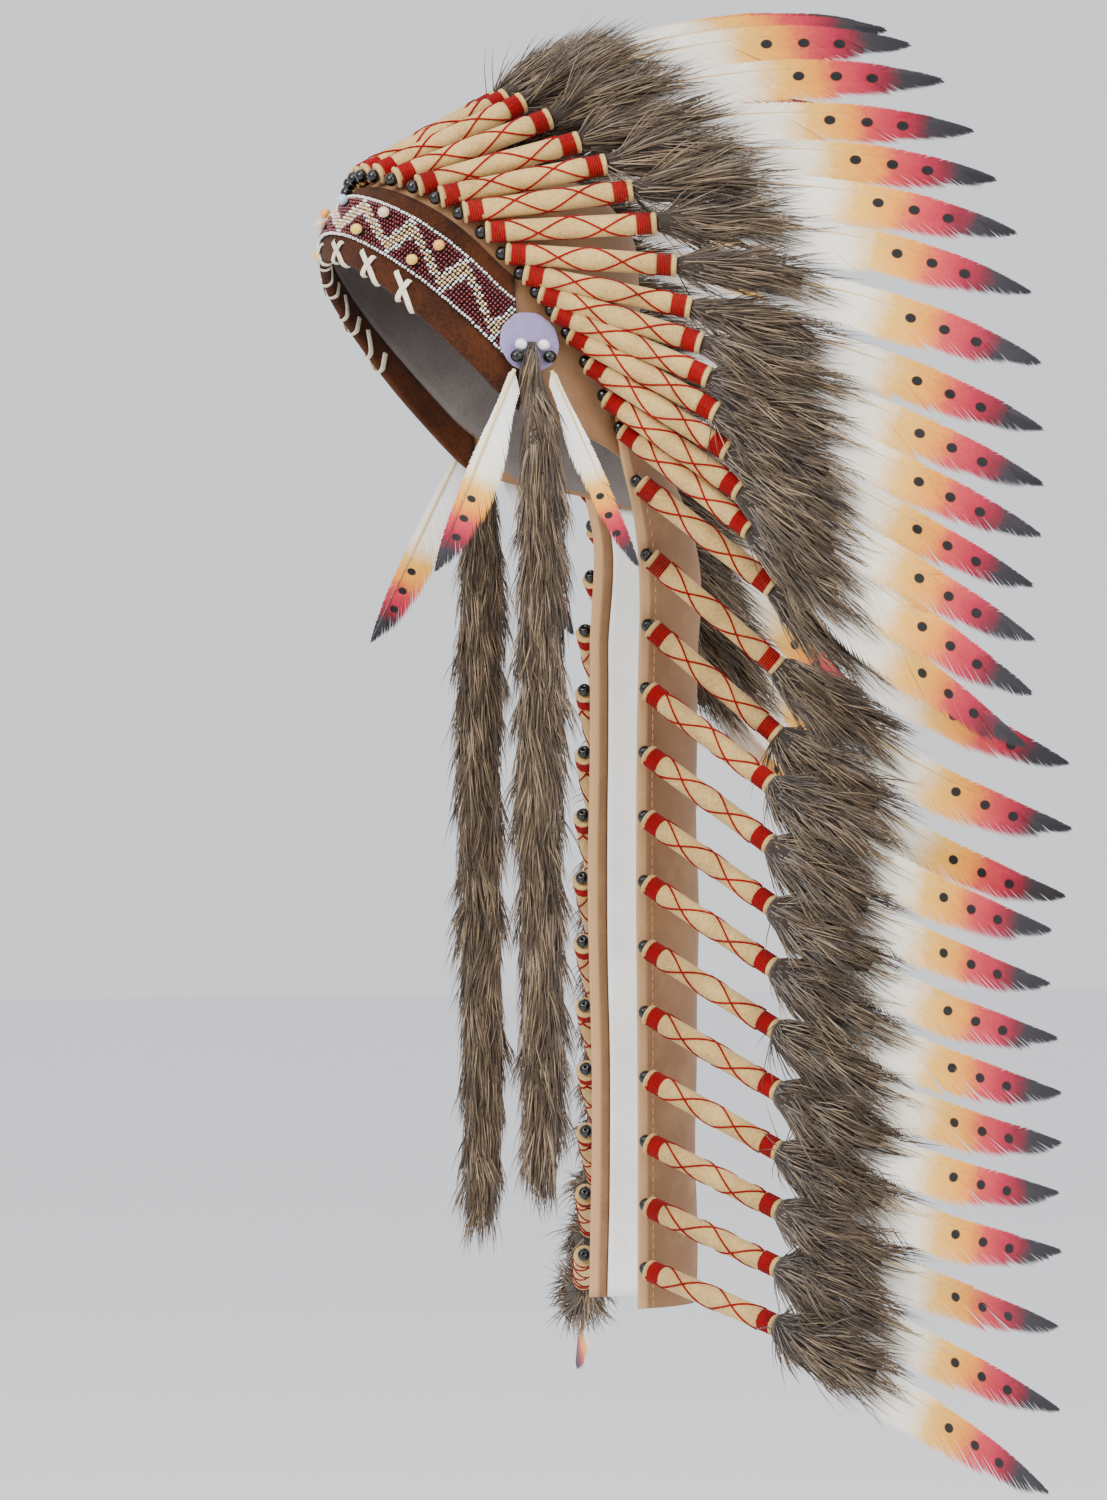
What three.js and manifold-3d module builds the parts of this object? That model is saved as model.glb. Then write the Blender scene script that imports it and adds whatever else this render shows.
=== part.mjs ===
// A feathered headdress with a long double trailer: a soft leather hood with a
// beaded brow band, a rosette with a fur drop at each temple, and one row of
// wrapped, fur-tipped feathers that runs over the crown and down both edges of
// a hanging panel.
//
// Millimetres, +Z up. The wearer faces -Y, and the wearer's left is +X. The
// origin is the top of the hollow, where the crown of the head carries it.
import * as THREE from "three";
import { ParametricGeometry } from "three/addons/geometries/ParametricGeometry.js";
import { mergeVertices } from "three/addons/utils/BufferGeometryUtils.js";
import Module from "manifold-3d";

const wasm = await Module();
wasm.setup();

// ---------------------------------------------------------------- driving sizes

const DEG = Math.PI / 180;
const GAP = 0.3;

const HOOD = {
  halfWidth: 76,
  front: 89,
  back: 110,
  rise: 66,
  flatness: 1,
  browZ: -83,
  slope: 1.1,
  napeLift: 61,
  leather: 1.5,
  lining: 1.2,
};
const BAND = { width: 54, felt: 2, turnUp: 13.5, fold: 3, steps: 6 };
const STRIP = { low: 14.5, high: 44, thick: 2 };
const PEARL = { radius: 3.6, pitch: 21.5, perSide: 6, low: 21.5, high: 37 };
const LACE = { pitch: 31, reach: 11, lean: 6, width: 3, thick: 1.2, crosses: 7 };
const ROSETTE = { turn: 101.5 * DEG, up: 28, radius: 19, thick: 2.4 };
const DROP = { length: 528, halfWidth: 17, halfDepth: 10 };
const PANEL = { thick: 1.6, hemThick: 2.8, lining: 1 };
const WRAP = { length: 107, radius: 7, bead: 4.4 };
const BLADE = { length: 246, narrow: 7, wide: 23, thick: 1.4 };

// The head leans and the trailer swings round a little as the piece is worn.
const LEAN = 12 * DEG;
const SWING = 13.6 * DEG;
const NECK_Z = -200;
const TWIST = { top: -212, bottom: -330 };

// Sections of the trailer, in the order that it hangs: half width and depth of
// the arc that the leather follows, its centre behind the head, and how far
// round the arc the leather reaches on each side.
const TRAILER_SECTIONS = [
  { z: -172, width: 77.6, centre: 0, depth: 111.6, reach: 45 },
  { z: -208, width: 68, centre: 26, depth: 92, reach: 53 },
  { z: -250, width: 50, centre: 62, depth: 72, reach: 70 },
  { z: -300, width: 38, centre: 84, depth: 58, reach: 86 },
  { z: -380, width: 34, centre: 88, depth: 54, reach: 90 },
  { z: -480, width: 35, centre: 87, depth: 56, reach: 90 },
  { z: -610, width: 33, centre: 89, depth: 53, reach: 90 },
  { z: -739, width: 35, centre: 88, depth: 54, reach: 90 },
];

// The feather row, one side. On the hood a quill sits "round" degrees from the
// brow and "up" mm above the rim; on the trailer it sits at height "z". "out"
// and "rise" point the wrapped quill, "outTip" and "riseTip" the bare feather.
const HOOD_QUILLS = [
  { quill: 0, round: 0, up: 57, out: 0, rise: 31, outTip: 0, riseTip: 14, blade: 1.06 },
  { quill: 3, round: 38, up: 56, out: 4, rise: 27, outTip: 4, riseTip: 8, blade: 1.08 },
  { quill: 5, round: 61, up: 57, out: 8, rise: 14.5, outTip: 8, riseTip: 0, blade: 1.03 },
  { quill: 8, round: 87, up: 58, out: 12, rise: 0.5, outTip: 15, riseTip: -15, blade: 0.98 },
  { quill: 10, round: 99, up: 55, out: 14, rise: -15, outTip: 18, riseTip: -24, blade: 0.94 },
  { quill: 13, round: 114, up: 42, out: 19, rise: -33, outTip: 24, riseTip: -34, blade: 0.92 },
  { quill: 16, round: 134, up: 10, out: 25, rise: -43, outTip: 29, riseTip: -43, blade: 0.9 },
];
const TRAILER_QUILLS = [
  { quill: 15, z: -172, out: 20, rise: -40, outTip: 26, riseTip: -35, blade: 0.88 },
  { quill: 17, z: -237, out: 29, rise: -42, outTip: 37, riseTip: -34, blade: 0.88 },
  { quill: 18, z: -275, out: 40, rise: -40, outTip: 49, riseTip: -27, blade: 0.89 },
  { quill: 20, z: -352, out: 55, rise: -34, outTip: 61, riseTip: -23, blade: 0.89 },
  { quill: 23, z: -472, out: 57, rise: -29, outTip: 63, riseTip: -18, blade: 0.89 },
  { quill: 26, z: -594, out: 59, rise: -23, outTip: 64, riseTip: -13, blade: 0.86 },
  { quill: 29, z: -713, out: 65, rise: -15, outTip: 66, riseTip: -22, blade: 0.89 },
];
const LAST_HOOD_QUILL = 16;

// Each stretch of wrapped quills is strung on its thread as one piece, and so is
// each stretch of the plumes that they hold.
const WRAP_STRETCHES = [
  { name: "crown", first: 1, last: 6 },
  { name: "nape", first: 7, last: 17 },
  { name: "trailer_upper", first: 18, last: 23 },
  { name: "trailer_lower", first: 24, last: 29 },
];
const PLUME_STRETCHES = [
  { name: "crown", first: 1, last: 6, halfHeight: 9.5, halfDepth: 6.5 },
  { name: "temple", first: 7, last: 11, halfHeight: 9.5, halfDepth: 11 },
  { name: "nape", first: 12, last: 17, halfHeight: 12, halfDepth: 11 },
  { name: "trailer_upper", first: 18, last: 23, halfHeight: 15, halfDepth: 16 },
  { name: "trailer_lower", first: 24, last: 29, halfHeight: 15, halfDepth: 16 },
];
const CENTRE_QUILL = { name: "brow_centre", first: 0, last: 0, halfHeight: 10, halfDepth: 6.5 };

// ---------------------------------------------------------------- finishes

const finish = (color, roughness) => new THREE.MeshStandardMaterial({ color, roughness, metalness: 0 });
const TAN_LEATHER = finish("#96785a", 0.7);
const GREY_LINING = finish("#55504e", 0.85);
const BROWN_FELT = finish("#5f3419", 0.95);
const SEED_BEADS = finish("#7d2a30", 0.35);
const IVORY_THONG = finish("#ebe1c8", 0.6);
const WHITE_LINING = finish("#f0eeea", 0.85);
const LAVENDER_FELT = finish("#a59bb4", 0.95);
const BEIGE_FELT = finish("#e1cda5", 0.95);
const GREY_FUR = finish("#786a58", 0.9);
const FEATHER = finish("#f0f0ee", 0.7);
const WHITE_BEAD = finish("#f2eff2", 0.2);
const BLACK_BEAD = finish("#101012", 0.12);
const PEARL_TINTS = [
  finish("#d7af8c", 0.2), finish("#aab9cd", 0.2), finish("#e1b41e", 0.2),
  finish("#d7af8c", 0.2), finish("#e1b41e", 0.2), finish("#e19614", 0.2),
];

// ---------------------------------------------------------------- small helpers

const group = new THREE.Group();

function add(name, geometry, material, position, quaternion) {
  const mesh = new THREE.Mesh(geometry, material);
  mesh.name = name;
  if (position) mesh.position.copy(position);
  if (quaternion) mesh.quaternion.copy(quaternion);
  group.add(mesh);
}

const mix = (a, b, t) => a + (b - a) * t;
const smooth = (x, low, high) => THREE.MathUtils.smoothstep(x, low, high);
const v3 = (x, y, z) => new THREE.Vector3(x, y, z);

// Reads a short table at any place between its rows, by smooth curves.
function readTable(rows, key, place) {
  const last = rows.length - 1;
  const grows = rows[last][key] > rows[0][key];
  const found = rows.findIndex((row) => (grows ? row[key] >= place : row[key] <= place));
  const at = found < 0 ? last : Math.max(found, 1);
  const [low, high] = [rows[at - 1], rows[at]];
  const [before, after] = [rows[Math.max(at - 2, 0)], rows[Math.min(at + 1, last)]];
  const span = high[key] - low[key];
  const t = (place - low[key]) / span;
  const value = {};
  for (const name of Object.keys(low)) {
    const slopeIn = (high[name] - before[name]) / (high[key] - before[key]) * span;
    const slopeOut = (after[name] - low[name]) / (after[key] - low[key]) * span;
    const rest = high[name] - low[name];
    value[name] = low[name] + t * slopeIn
      + t * t * (3 * rest - 2 * slopeIn - slopeOut)
      + t * t * t * (slopeIn + slopeOut - 2 * rest);
  }
  return value;
}

// A closed body from a surface that meets itself round u, or along v as well.
// "crossed" says which of its four-sided flats are split along the other diagonal.
function closedBody(place, slices, stacks, crossed = () => false) {
  const surface = new ParametricGeometry((u, v, out) => out.copy(place(u, v)), slices, stacks);
  surface.deleteAttribute("normal");
  surface.deleteAttribute("uv");
  const split = [];
  for (let row = 0; row < stacks; row++) {
    for (let column = 0; column < slices; column++) {
      const a = row * (slices + 1) + column;
      const [b, c, d] = [a + 1, a + slices + 2, a + slices + 1];
      split.push(...(crossed(row, column) ? [a, b, c, a, c, d] : [a, b, d, b, c, d]));
    }
  }
  surface.setIndex(split);
  const merged = mergeVertices(surface, 1e-3);
  const old = merged.getIndex().array;
  const kept = [];
  for (let i = 0; i < old.length; i += 3) {
    const [a, b, c] = [old[i], old[i + 1], old[i + 2]];
    if (a !== b && b !== c && c !== a) kept.push(a, b, c);
  }
  merged.setIndex(kept);
  if (signedVolume(merged) < 0) merged.setIndex(kept.reverse());
  return merged;
}

function signedVolume(geometry) {
  const points = geometry.getAttribute("position");
  const index = geometry.getIndex().array;
  const [a, b, c] = [v3(), v3(), v3()];
  let sum = 0;
  for (let i = 0; i < index.length; i += 3) {
    a.fromBufferAttribute(points, index[i]);
    b.fromBufferAttribute(points, index[i + 1]);
    c.fromBufferAttribute(points, index[i + 2]);
    sum += a.dot(b.cross(c)) / 6;
  }
  return sum;
}

function toSolid(geometry) {
  const bare = geometry.clone();
  bare.deleteAttribute("normal");
  bare.deleteAttribute("uv");
  const merged = mergeVertices(bare, 1e-3);
  return new wasm.Manifold(new wasm.Mesh({
    numProp: 3,
    vertProperties: new Float32Array(merged.getAttribute("position").array),
    triVerts: new Uint32Array(merged.getIndex().array),
  }));
}

function fuse(geometries) {
  const solids = geometries.map(toSolid);
  const whole = solids.reduce((sum, next) => sum.add(next));
  const mesh = whole.getMesh();
  const fused = new THREE.BufferGeometry();
  fused.setAttribute("position", new THREE.BufferAttribute(mesh.vertProperties, 3));
  fused.setIndex(new THREE.BufferAttribute(mesh.triVerts, 1));
  return fused;
}

// ---------------------------------------------------------------- how it hangs

// Everything is laid out even on both sides; this then leans the hood with the
// head and lets the trailer swing below it.
function lean(point) {
  const worn = smooth(point.z, TWIST.bottom, TWIST.top);
  const tilt = LEAN * worn;
  const swing = SWING * (1 - worn);
  const height = point.z - NECK_Z;
  const x = point.x * Math.cos(tilt) - height * Math.sin(tilt) - NECK_Z * Math.sin(LEAN);
  const z = point.x * Math.sin(tilt) + height * Math.cos(tilt) + NECK_Z * Math.cos(LEAN);
  return v3(
    x * Math.cos(swing) - point.y * Math.sin(swing),
    x * Math.sin(swing) + point.y * Math.cos(swing),
    z,
  );
}

// The top of the hollow, inside the lining, is the origin.
const CROWN = lean(v3(0, 0, HOOD.browZ + HOOD.rise - HOOD.leather - GAP - HOOD.lining));

function hang(point) {
  return lean(point).sub(CROWN);
}

function hangDirection(point, direction) {
  const ahead = hang(point.clone().addScaledVector(direction, 5));
  return ahead.sub(hang(point)).normalize();
}

// ---------------------------------------------------------------- hood surface

const lengthAt = (turn) => (Math.cos(turn) > 0 ? HOOD.front : HOOD.back);

// The rim runs down from the brow to the nape, and eases up a little behind.
function rimZ(turn) {
  const behindBrow = HOOD.front - lengthAt(turn) * Math.cos(turn);
  const lift = HOOD.napeLift * smooth(behindBrow, HOOD.front, HOOD.front + HOOD.back);
  return HOOD.browZ - HOOD.slope * behindBrow + lift;
}

// A point of the hood: turn round the head from the brow, distance up from the
// rim square to it, and distance out of the leather's outer face.
function onHood(turn, up, out) {
  const along = up / Math.cos(rimTilt(turn));
  const wall = HOOD.browZ - rimZ(turn);
  const arc = THREE.MathUtils.clamp((along - wall) / quarterArc(turn), 0, 1) * 90 * DEG;
  const girth = Math.cos(arc) ** HOOD.flatness;
  const lift = Math.sin(arc) ** HOOD.flatness;
  const z = HOOD.browZ + (arc > 0 ? HOOD.rise * lift : along - wall);
  const spread = Math.cos(arc) ** (2 - HOOD.flatness);
  const normal = v3(
    spread * Math.sin(turn) / HOOD.halfWidth,
    -spread * Math.cos(turn) / lengthAt(turn),
    Math.sin(arc) ** (2 - HOOD.flatness) / HOOD.rise,
  ).normalize();
  const point = v3(
    HOOD.halfWidth * girth * Math.sin(turn),
    -lengthAt(turn) * girth * Math.cos(turn),
    z,
  );
  return point.addScaledVector(normal, out);
}

function rimTilt(turn) {
  return Math.atan(HOOD.slope) * Math.abs(Math.sin(turn));
}

function quarterArc(turn) {
  const radius = Math.hypot(HOOD.halfWidth * Math.sin(turn), lengthAt(turn) * Math.cos(turn));
  return (Math.PI / 4) * (radius + HOOD.rise);
}

function crownUp(turn) {
  return (HOOD.browZ - rimZ(turn) + quarterArc(turn)) * Math.cos(rimTilt(turn));
}

// Faces over the hood share these places, so that their flats lie parallel:
// RING_STEPS round the head, and these heights above the rim.
const RING_STEPS = 22;
const CROWN_STEPS = 3;
const STEP_TURN = (2 * Math.PI) / RING_STEPS;
const BAND_UPS = [0, STRIP.low, STRIP.high, BAND.width];

function hoodUps(turn, low) {
  const ups = [low, ...BAND_UPS.slice(1)];
  for (let i = 1; i <= CROWN_STEPS; i++) ups.push(mix(BAND.width, crownUp(turn), i / CROWN_STEPS));
  return ups;
}

// A dished shell over the crown, from "low" above the rim to the top: up the
// outer face, down the inner face, and closed under the rim.
function hoodShell(low, outside, inside) {
  const rows = BAND_UPS.length + CROWN_STEPS;
  return closedBody((u, v) => {
    const turn = u * 2 * Math.PI;
    const row = Math.round(v * 2 * rows) % (2 * rows);
    const up = hoodUps(turn, low(turn))[Math.min(row, 2 * rows - 1 - row)];
    return hang(onHood(turn, up, row < rows ? outside : inside));
  }, RING_STEPS, 2 * rows, (row) => row >= rows);
}

function makeHood() {
  add("cap_shell", hoodShell(() => 0, 0, -HOOD.leather), TAN_LEATHER);
  const outside = -HOOD.leather - GAP;
  const low = (turn) => mix(2, STRIP.low - 0.1, smooth(Math.cos(turn), -0.4, -0.15));
  add("cap_lining", hoodShell(low, outside, outside - HOOD.lining), GREY_LINING);
}

// A closed wall from stations along it. Each station is a row of point pairs,
// one point on the face and one on the back; the ends close on the middle. From
// pair "folded" on, the section runs back up, so its flats are split to match.
function wall(stations, folded = Infinity) {
  const pairs = stations[0].length;
  const last = stations.length + 1;
  return closedBody((u, v) => {
    const row = Math.round(v * last);
    const station = stations[THREE.MathUtils.clamp(row - 1, 0, stations.length - 1)];
    const place = Math.round(u * 2 * pairs) % (2 * pairs);
    const pair = station[Math.min(place, 2 * pairs - 1 - place)];
    if (row === 0 || row === last) return pair[0].clone().lerp(pair[1], 0.5);
    return pair[place < pairs ? 0 : 1];
  }, 2 * pairs, last, (row, column) => {
    const step = Math.min(column, 2 * pairs - 2 - column);
    return (column >= pairs) !== (step >= folded);
  });
}

// A strip round the brow from temple to temple; "section" is a row of pairs,
// each [up on the face, out on the face, up on the back, out on the back].
function browStrip(section, folded) {
  const stations = [];
  for (let step = BAND.steps; step >= -BAND.steps; step--) {
    const turn = step * STEP_TURN;
    stations.push(section.map(([upFace, outFace, upBack, outBack]) => [
      hang(onHood(turn, upFace, outFace)),
      hang(onHood(turn, upBack, outBack)),
    ]));
  }
  return wall(stations, folded);
}

const FELT_FACE = GAP + BAND.felt;
const INSIDE = -HOOD.leather - GAP;
const STRIP_FACE = FELT_FACE + GAP + STRIP.thick;

function makeBand() {
  const section = BAND_UPS.slice().reverse().map((up) => [up, FELT_FACE, up, GAP]);
  section.push([-BAND.fold, FELT_FACE, -GAP, GAP]);
  section.push([-BAND.fold, INSIDE - BAND.felt, -GAP, INSIDE]);
  section.push([BAND.turnUp, INSIDE - BAND.felt, BAND.turnUp, INSIDE]);
  add("brow_band", browStrip(section, section.length - 2), BROWN_FELT);
  const beads = [STRIP.high, STRIP.low].map((up) => [up, STRIP_FACE, up, FELT_FACE + GAP]);
  add("beaded_strip", browStrip(beads), SEED_BEADS);
}

// A line round the brow at one height, so that things can be spaced along it.
class BrowLine extends THREE.Curve {
  constructor(up, out) {
    super();
    this.up = up;
    this.out = out;
  }

  getPoint(share, target = v3()) {
    return target.copy(onHood(share * 120 * DEG, this.up, this.out));
  }

  turnAt(distance) {
    return Math.sign(distance) * this.getUtoTmapping(0, Math.abs(distance)) * 120 * DEG;
  }
}

function makePearls() {
  const line = new BrowLine((STRIP.low + STRIP.high) / 2, STRIP_FACE);
  const ball = new THREE.SphereGeometry(PEARL.radius, 6, 4);
  for (let i = 0; i < 2 * PEARL.perSide; i++) {
    const turn = line.turnAt((i - PEARL.perSide + 0.5) * PEARL.pitch);
    const up = i % 2 === 0 ? PEARL.low : PEARL.high;
    const centre = hang(onHood(turn, up, STRIP_FACE + GAP + PEARL.radius));
    add(`pearl_${i + 1}`, ball, PEARL_TINTS[i % PEARL.perSide], centre);
  }
}

// The outline of one cross of flat thong, round its crossing.
function crossOutline(width, height, thong) {
  const side = thong * Math.hypot(width, height) / height / 2;
  const lap = side * height / width;
  return new THREE.Shape([
    [width / 2 - side, height / 2], [width / 2 + side, height / 2], [side, 0],
    [width / 2 + side, -height / 2], [width / 2 - side, -height / 2], [0, -lap],
    [side - width / 2, -height / 2], [-side - width / 2, -height / 2], [-side, 0],
    [-side - width / 2, height / 2], [side - width / 2, height / 2], [0, lap],
  ].map(([x, y]) => new THREE.Vector2(x, y)));
}

// The crosses, and the thong that runs on under the folded edge between them.
function makeLacing() {
  const line = new BrowLine(0, FELT_FACE);
  const half = (LACE.crosses - 1) / 2;
  const low = -BAND.fold - GAP;
  const foot = low - LACE.thick - 4 * GAP;
  const face = FELT_FACE + 4 * GAP;
  const outline = crossOutline(2 * LACE.lean, LACE.reach - foot, LACE.width);
  const flat = new THREE.ExtrudeGeometry(outline, { depth: LACE.thick, bevelEnabled: false });
  const crosses = [];
  for (let i = -half; i <= half; i++) {
    const turn = line.turnAt(i * LACE.pitch);
    const middle = hang(onHood(turn, (LACE.reach + foot) / 2, face));
    const outward = hang(onHood(turn, LACE.reach, face + 1)).sub(hang(onHood(turn, LACE.reach, face)));
    const along = hang(onHood(turn + DEG, foot, face)).sub(hang(onHood(turn - DEG, foot, face)));
    along.projectOnPlane(outward.normalize()).normalize();
    const up = v3().crossVectors(outward, along);
    crosses.push(flat.clone().applyMatrix4(new THREE.Matrix4().makeBasis(along, up, outward).setPosition(middle)));
  }
  const steps = Math.ceil(line.turnAt(half * LACE.pitch) / STEP_TURN);
  const run = [];
  for (let step = -steps; step <= steps; step++) {
    run.push([GAP, face + LACE.thick + 2 * GAP].map((out) => [
      hang(onHood(step * STEP_TURN, low - LACE.thick, out)),
      hang(onHood(step * STEP_TURN, low, out)),
    ]));
  }
  add("edge_lacing", fuse([...crosses, wall(run)]), IVORY_THONG);
}

// ---------------------------------------------------------------- trailer

const PANEL_ROWS = [-172, -200, -230, -266, -310, -375, -480, -610, -739];
const LINING_FROM = 2;
const PANEL_SHARES = [-1, -0.88, -0.87, -0.45, 0, 0.45, 0.87, 0.88, 1];
const LINING_EDGE = 0.86;

// A point of the trailer: height, share of its width from edge to edge, and
// distance out of its inner face.
function onTrailer(z, share, out) {
  const section = readTable(TRAILER_SECTIONS, "z", z);
  const angle = share * section.reach * DEG;
  const normal = v3(Math.sin(angle) / section.width, Math.cos(angle) / section.depth, 0).normalize();
  const x = section.width * Math.sin(angle);
  const y = section.centre + section.depth * Math.cos(angle);
  return v3(x, y, z).addScaledVector(normal, out);
}

function makeTrailer() {
  const hem = PANEL.thick - PANEL.hemThick;
  const panel = PANEL_ROWS.map((z) => PANEL_SHARES.map((share) => [
    hang(onTrailer(z, share, PANEL.thick)),
    hang(onTrailer(z, share, Math.abs(share) > 0.87 ? hem : 0)),
  ]));
  add("trailer_panel", wall(panel), TAN_LEATHER);
  const shares = PANEL_SHARES.slice(2, -2).map((s) => THREE.MathUtils.clamp(s, -LINING_EDGE, LINING_EDGE));
  const lining = PANEL_ROWS.slice(LINING_FROM).map((z) => shares.map((share) => [
    hang(onTrailer(z, share, -2 * GAP)),
    hang(onTrailer(z, share, -2 * GAP - PANEL.lining)),
  ]));
  add("trailer_lining", wall(lining), WHITE_LINING);
}

// ---------------------------------------------------------------- temples

const BEADS_ON_ROSETTE = [
  { name: "white_bead_front", across: -7.4, down: 3, radius: 3.8, material: WHITE_BEAD },
  { name: "white_bead_back", across: 7.4, down: 3, radius: 3.8, material: WHITE_BEAD },
  { name: "black_bead_front", across: -10.5, down: 10.5, radius: 4.2, material: BLACK_BEAD },
  { name: "black_bead_back", across: 10.5, down: 10.5, radius: 4.2, material: BLACK_BEAD },
];
const SIDE_FEATHERS = [
  { name: "front", across: -11, down: 16, lean: -21, length: 134, width: 25 },
  { name: "back", across: 11, down: 16, lean: 25, length: 143, width: 29 },
];
const DROP_SECTIONS = [
  { share: 0, width: 0.25, depth: 0.3 },
  { share: 0.05, width: 0.42, depth: 0.5 },
  { share: 0.13, width: 0.8, depth: 0.8 },
  { share: 0.22, width: 1, depth: 1 },
  { share: 0.6, width: 0.94, depth: 1 },
  { share: 0.9, width: 0.86, depth: 0.8 },
  { share: 1, width: 0.3, depth: 0.35 },
];

// The rosette's own frame: across to the back of the head, up and out.
function templeFrame(side) {
  const turn = side * ROSETTE.turn;
  const seat = onHood(turn, ROSETTE.up, 0);
  const centre = hang(onHood(turn, ROSETTE.up, STRIP_FACE + GAP));
  const outward = hangDirection(seat, onHood(turn, ROSETTE.up, 1).sub(seat));
  const above = v3(0, 0, 1).projectOnPlane(outward).normalize();
  const back = v3().crossVectors(outward, above).multiplyScalar(side);
  const place = (across, down, out) => centre.clone()
    .addScaledVector(back, across).addScaledVector(above, -down).addScaledVector(outward, out);
  // What hangs here lies on the wall where that runs outward, or else falls straight.
  const fall = above.clone().negate();
  if (fall.x * side < 0) fall.set(0, 0, -1);
  return { outward, above, back, place, fall };
}

// A long body of oval sections along a path.
function ovalBody(centreAt, halfWidthAt, halfDepthAt, widthWay, depthWay, sides, stations) {
  return closedBody((u, v) => {
    const row = Math.round(v * (stations + 1));
    const share = THREE.MathUtils.clamp((row - 0.5) / stations, 0, 1);
    const centre = centreAt(share);
    if (row === 0 || row === stations + 1) return centre;
    const angle = u * 2 * Math.PI;
    return centre.addScaledVector(widthWay, Math.cos(angle) * halfWidthAt(share))
      .addScaledVector(depthWay, Math.sin(angle) * halfDepthAt(share));
  }, sides, stations + 1);
}

function makeDrop(side, name) {
  const frame = templeFrame(side);
  const start = frame.place(0, 1, ROSETTE.thick + GAP);
  const onWall = 60;
  const size = (share) => readTable(DROP_SECTIONS, "share", share);
  const centreAt = (share) => {
    const drop = share * DROP.length;
    const leaning = Math.min(drop, onWall);
    const centre = start.clone().addScaledVector(frame.fall, leaning);
    centre.z -= drop - leaning;
    return centre.addScaledVector(frame.outward, GAP + DROP.halfDepth * size(share).depth);
  };
  add(
    name,
    ovalBody(
      centreAt,
      (share) => DROP.halfWidth * size(share).width,
      (share) => DROP.halfDepth * size(share).depth,
      frame.back,
      frame.outward,
      7,
      8,
    ),
    GREY_FUR,
  );
}

// A flat feather: a thin diamond section that is deepest on the shaft, with a
// narrow vane on one side, a wide one on the other and a pointed tip.
const VANE_SHARES = [0, 0.35, 0.8];
const VANE_WIDTHS = [0.5, 1, 0.72];

function featherBody(centreAt, narrowWay, normalWay, narrow, wide, thick) {
  const last = VANE_SHARES.length + 1;
  return closedBody((u, v) => {
    const row = Math.round(v * last);
    if (row === 0) return centreAt(0);
    if (row === last) return centreAt(1);
    const centre = centreAt(VANE_SHARES[row - 1]);
    const corner = Math.round(u * 4) % 4;
    const full = VANE_WIDTHS[row - 1];
    if (corner === 0) return centre.addScaledVector(narrowWay, narrow * full);
    if (corner === 2) return centre.addScaledVector(narrowWay, -wide * full);
    return centre.addScaledVector(normalWay, (2 - corner) * thick * 0.5);
  }, 4, last);
}

function makeSideFeather(side, sideName, feather) {
  const frame = templeFrame(side);
  const lean = feather.lean * DEG;
  const along = frame.fall.clone().multiplyScalar(Math.cos(lean)).addScaledVector(frame.back, Math.sin(lean));
  const root = frame.place(feather.across, feather.down, ROSETTE.thick + 2);
  const edge = v3().crossVectors(along, frame.outward).normalize();
  add(
    `side_feather_${feather.name}_${sideName}`,
    featherBody(
      (share) => root.clone().addScaledVector(along, share * feather.length),
      edge,
      frame.outward,
      feather.width / 2,
      feather.width / 2,
      BLADE.thick,
    ),
    FEATHER,
  );
}

function makeTemple(side, sideName) {
  const frame = templeFrame(side);
  const facing = new THREE.Quaternion().setFromUnitVectors(v3(0, 1, 0), frame.outward);
  const disc = new THREE.CylinderGeometry(ROSETTE.radius, ROSETTE.radius, ROSETTE.thick, 16);
  add(`rosette_${sideName}`, disc, LAVENDER_FELT, frame.place(0, 0, ROSETTE.thick / 2), facing);
  for (const { name, across, down, radius, material } of BEADS_ON_ROSETTE) {
    const centre = frame.place(across, down, ROSETTE.thick + GAP + radius);
    add(`${name}_${sideName}`, new THREE.SphereGeometry(radius, 6, 4), material, centre);
  }
  makeDrop(side, `fur_drop_${sideName}`);
  for (const feather of SIDE_FEATHERS) makeSideFeather(side, sideName, feather);
}

// ---------------------------------------------------------------- feather row

function aim(out, rise) {
  return v3(
    Math.cos(rise * DEG) * Math.sin(out * DEG),
    Math.cos(rise * DEG) * Math.cos(out * DEG),
    Math.sin(rise * DEG),
  );
}

// Where quill "number" sits and how its two lengths point, as it is worn.
function quill(number, side) {
  const hooded = number <= LAST_HOOD_QUILL;
  const row = readTable(hooded ? HOOD_QUILLS : TRAILER_QUILLS, "quill", number);
  const clear = WRAP.radius + 5 * GAP;
  const seat = hooded
    ? onHood(row.round * DEG, row.up, clear)
    : onTrailer(row.z, 1, PANEL.thick + clear);
  const tube = aim(row.out, row.rise);
  const tip = aim(row.outTip, row.riseTip);
  for (const vector of [seat, tube, tip]) vector.x *= side;
  const root = hang(seat);
  const tubeWay = hangDirection(seat, tube);
  const tipWay = hangDirection(seat, tip);
  const end = root.clone().addScaledVector(tubeWay, WRAP.length);
  const lastWay = tipWay.clone().multiplyScalar(2).sub(tubeWay).normalize();
  const bladeLength = BLADE.length * row.blade;
  const bladeAt = (distance) => {
    const share = distance / bladeLength;
    return end.clone()
      .addScaledVector(tubeWay, distance * (1 - share / 2))
      .addScaledVector(lastWay, distance * share / 2);
  };
  return { root, tubeWay, bladeAt, bladeLength };
}

function rod(from, to, radius, sides) {
  const way = to.clone().sub(from);
  const body = new THREE.CylinderGeometry(radius, radius, way.length(), sides);
  body.applyQuaternion(new THREE.Quaternion().setFromUnitVectors(v3(0, 1, 0), way.normalize()));
  const middle = from.clone().lerp(to, 0.5);
  return body.translate(middle.x, middle.y, middle.z);
}

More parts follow.
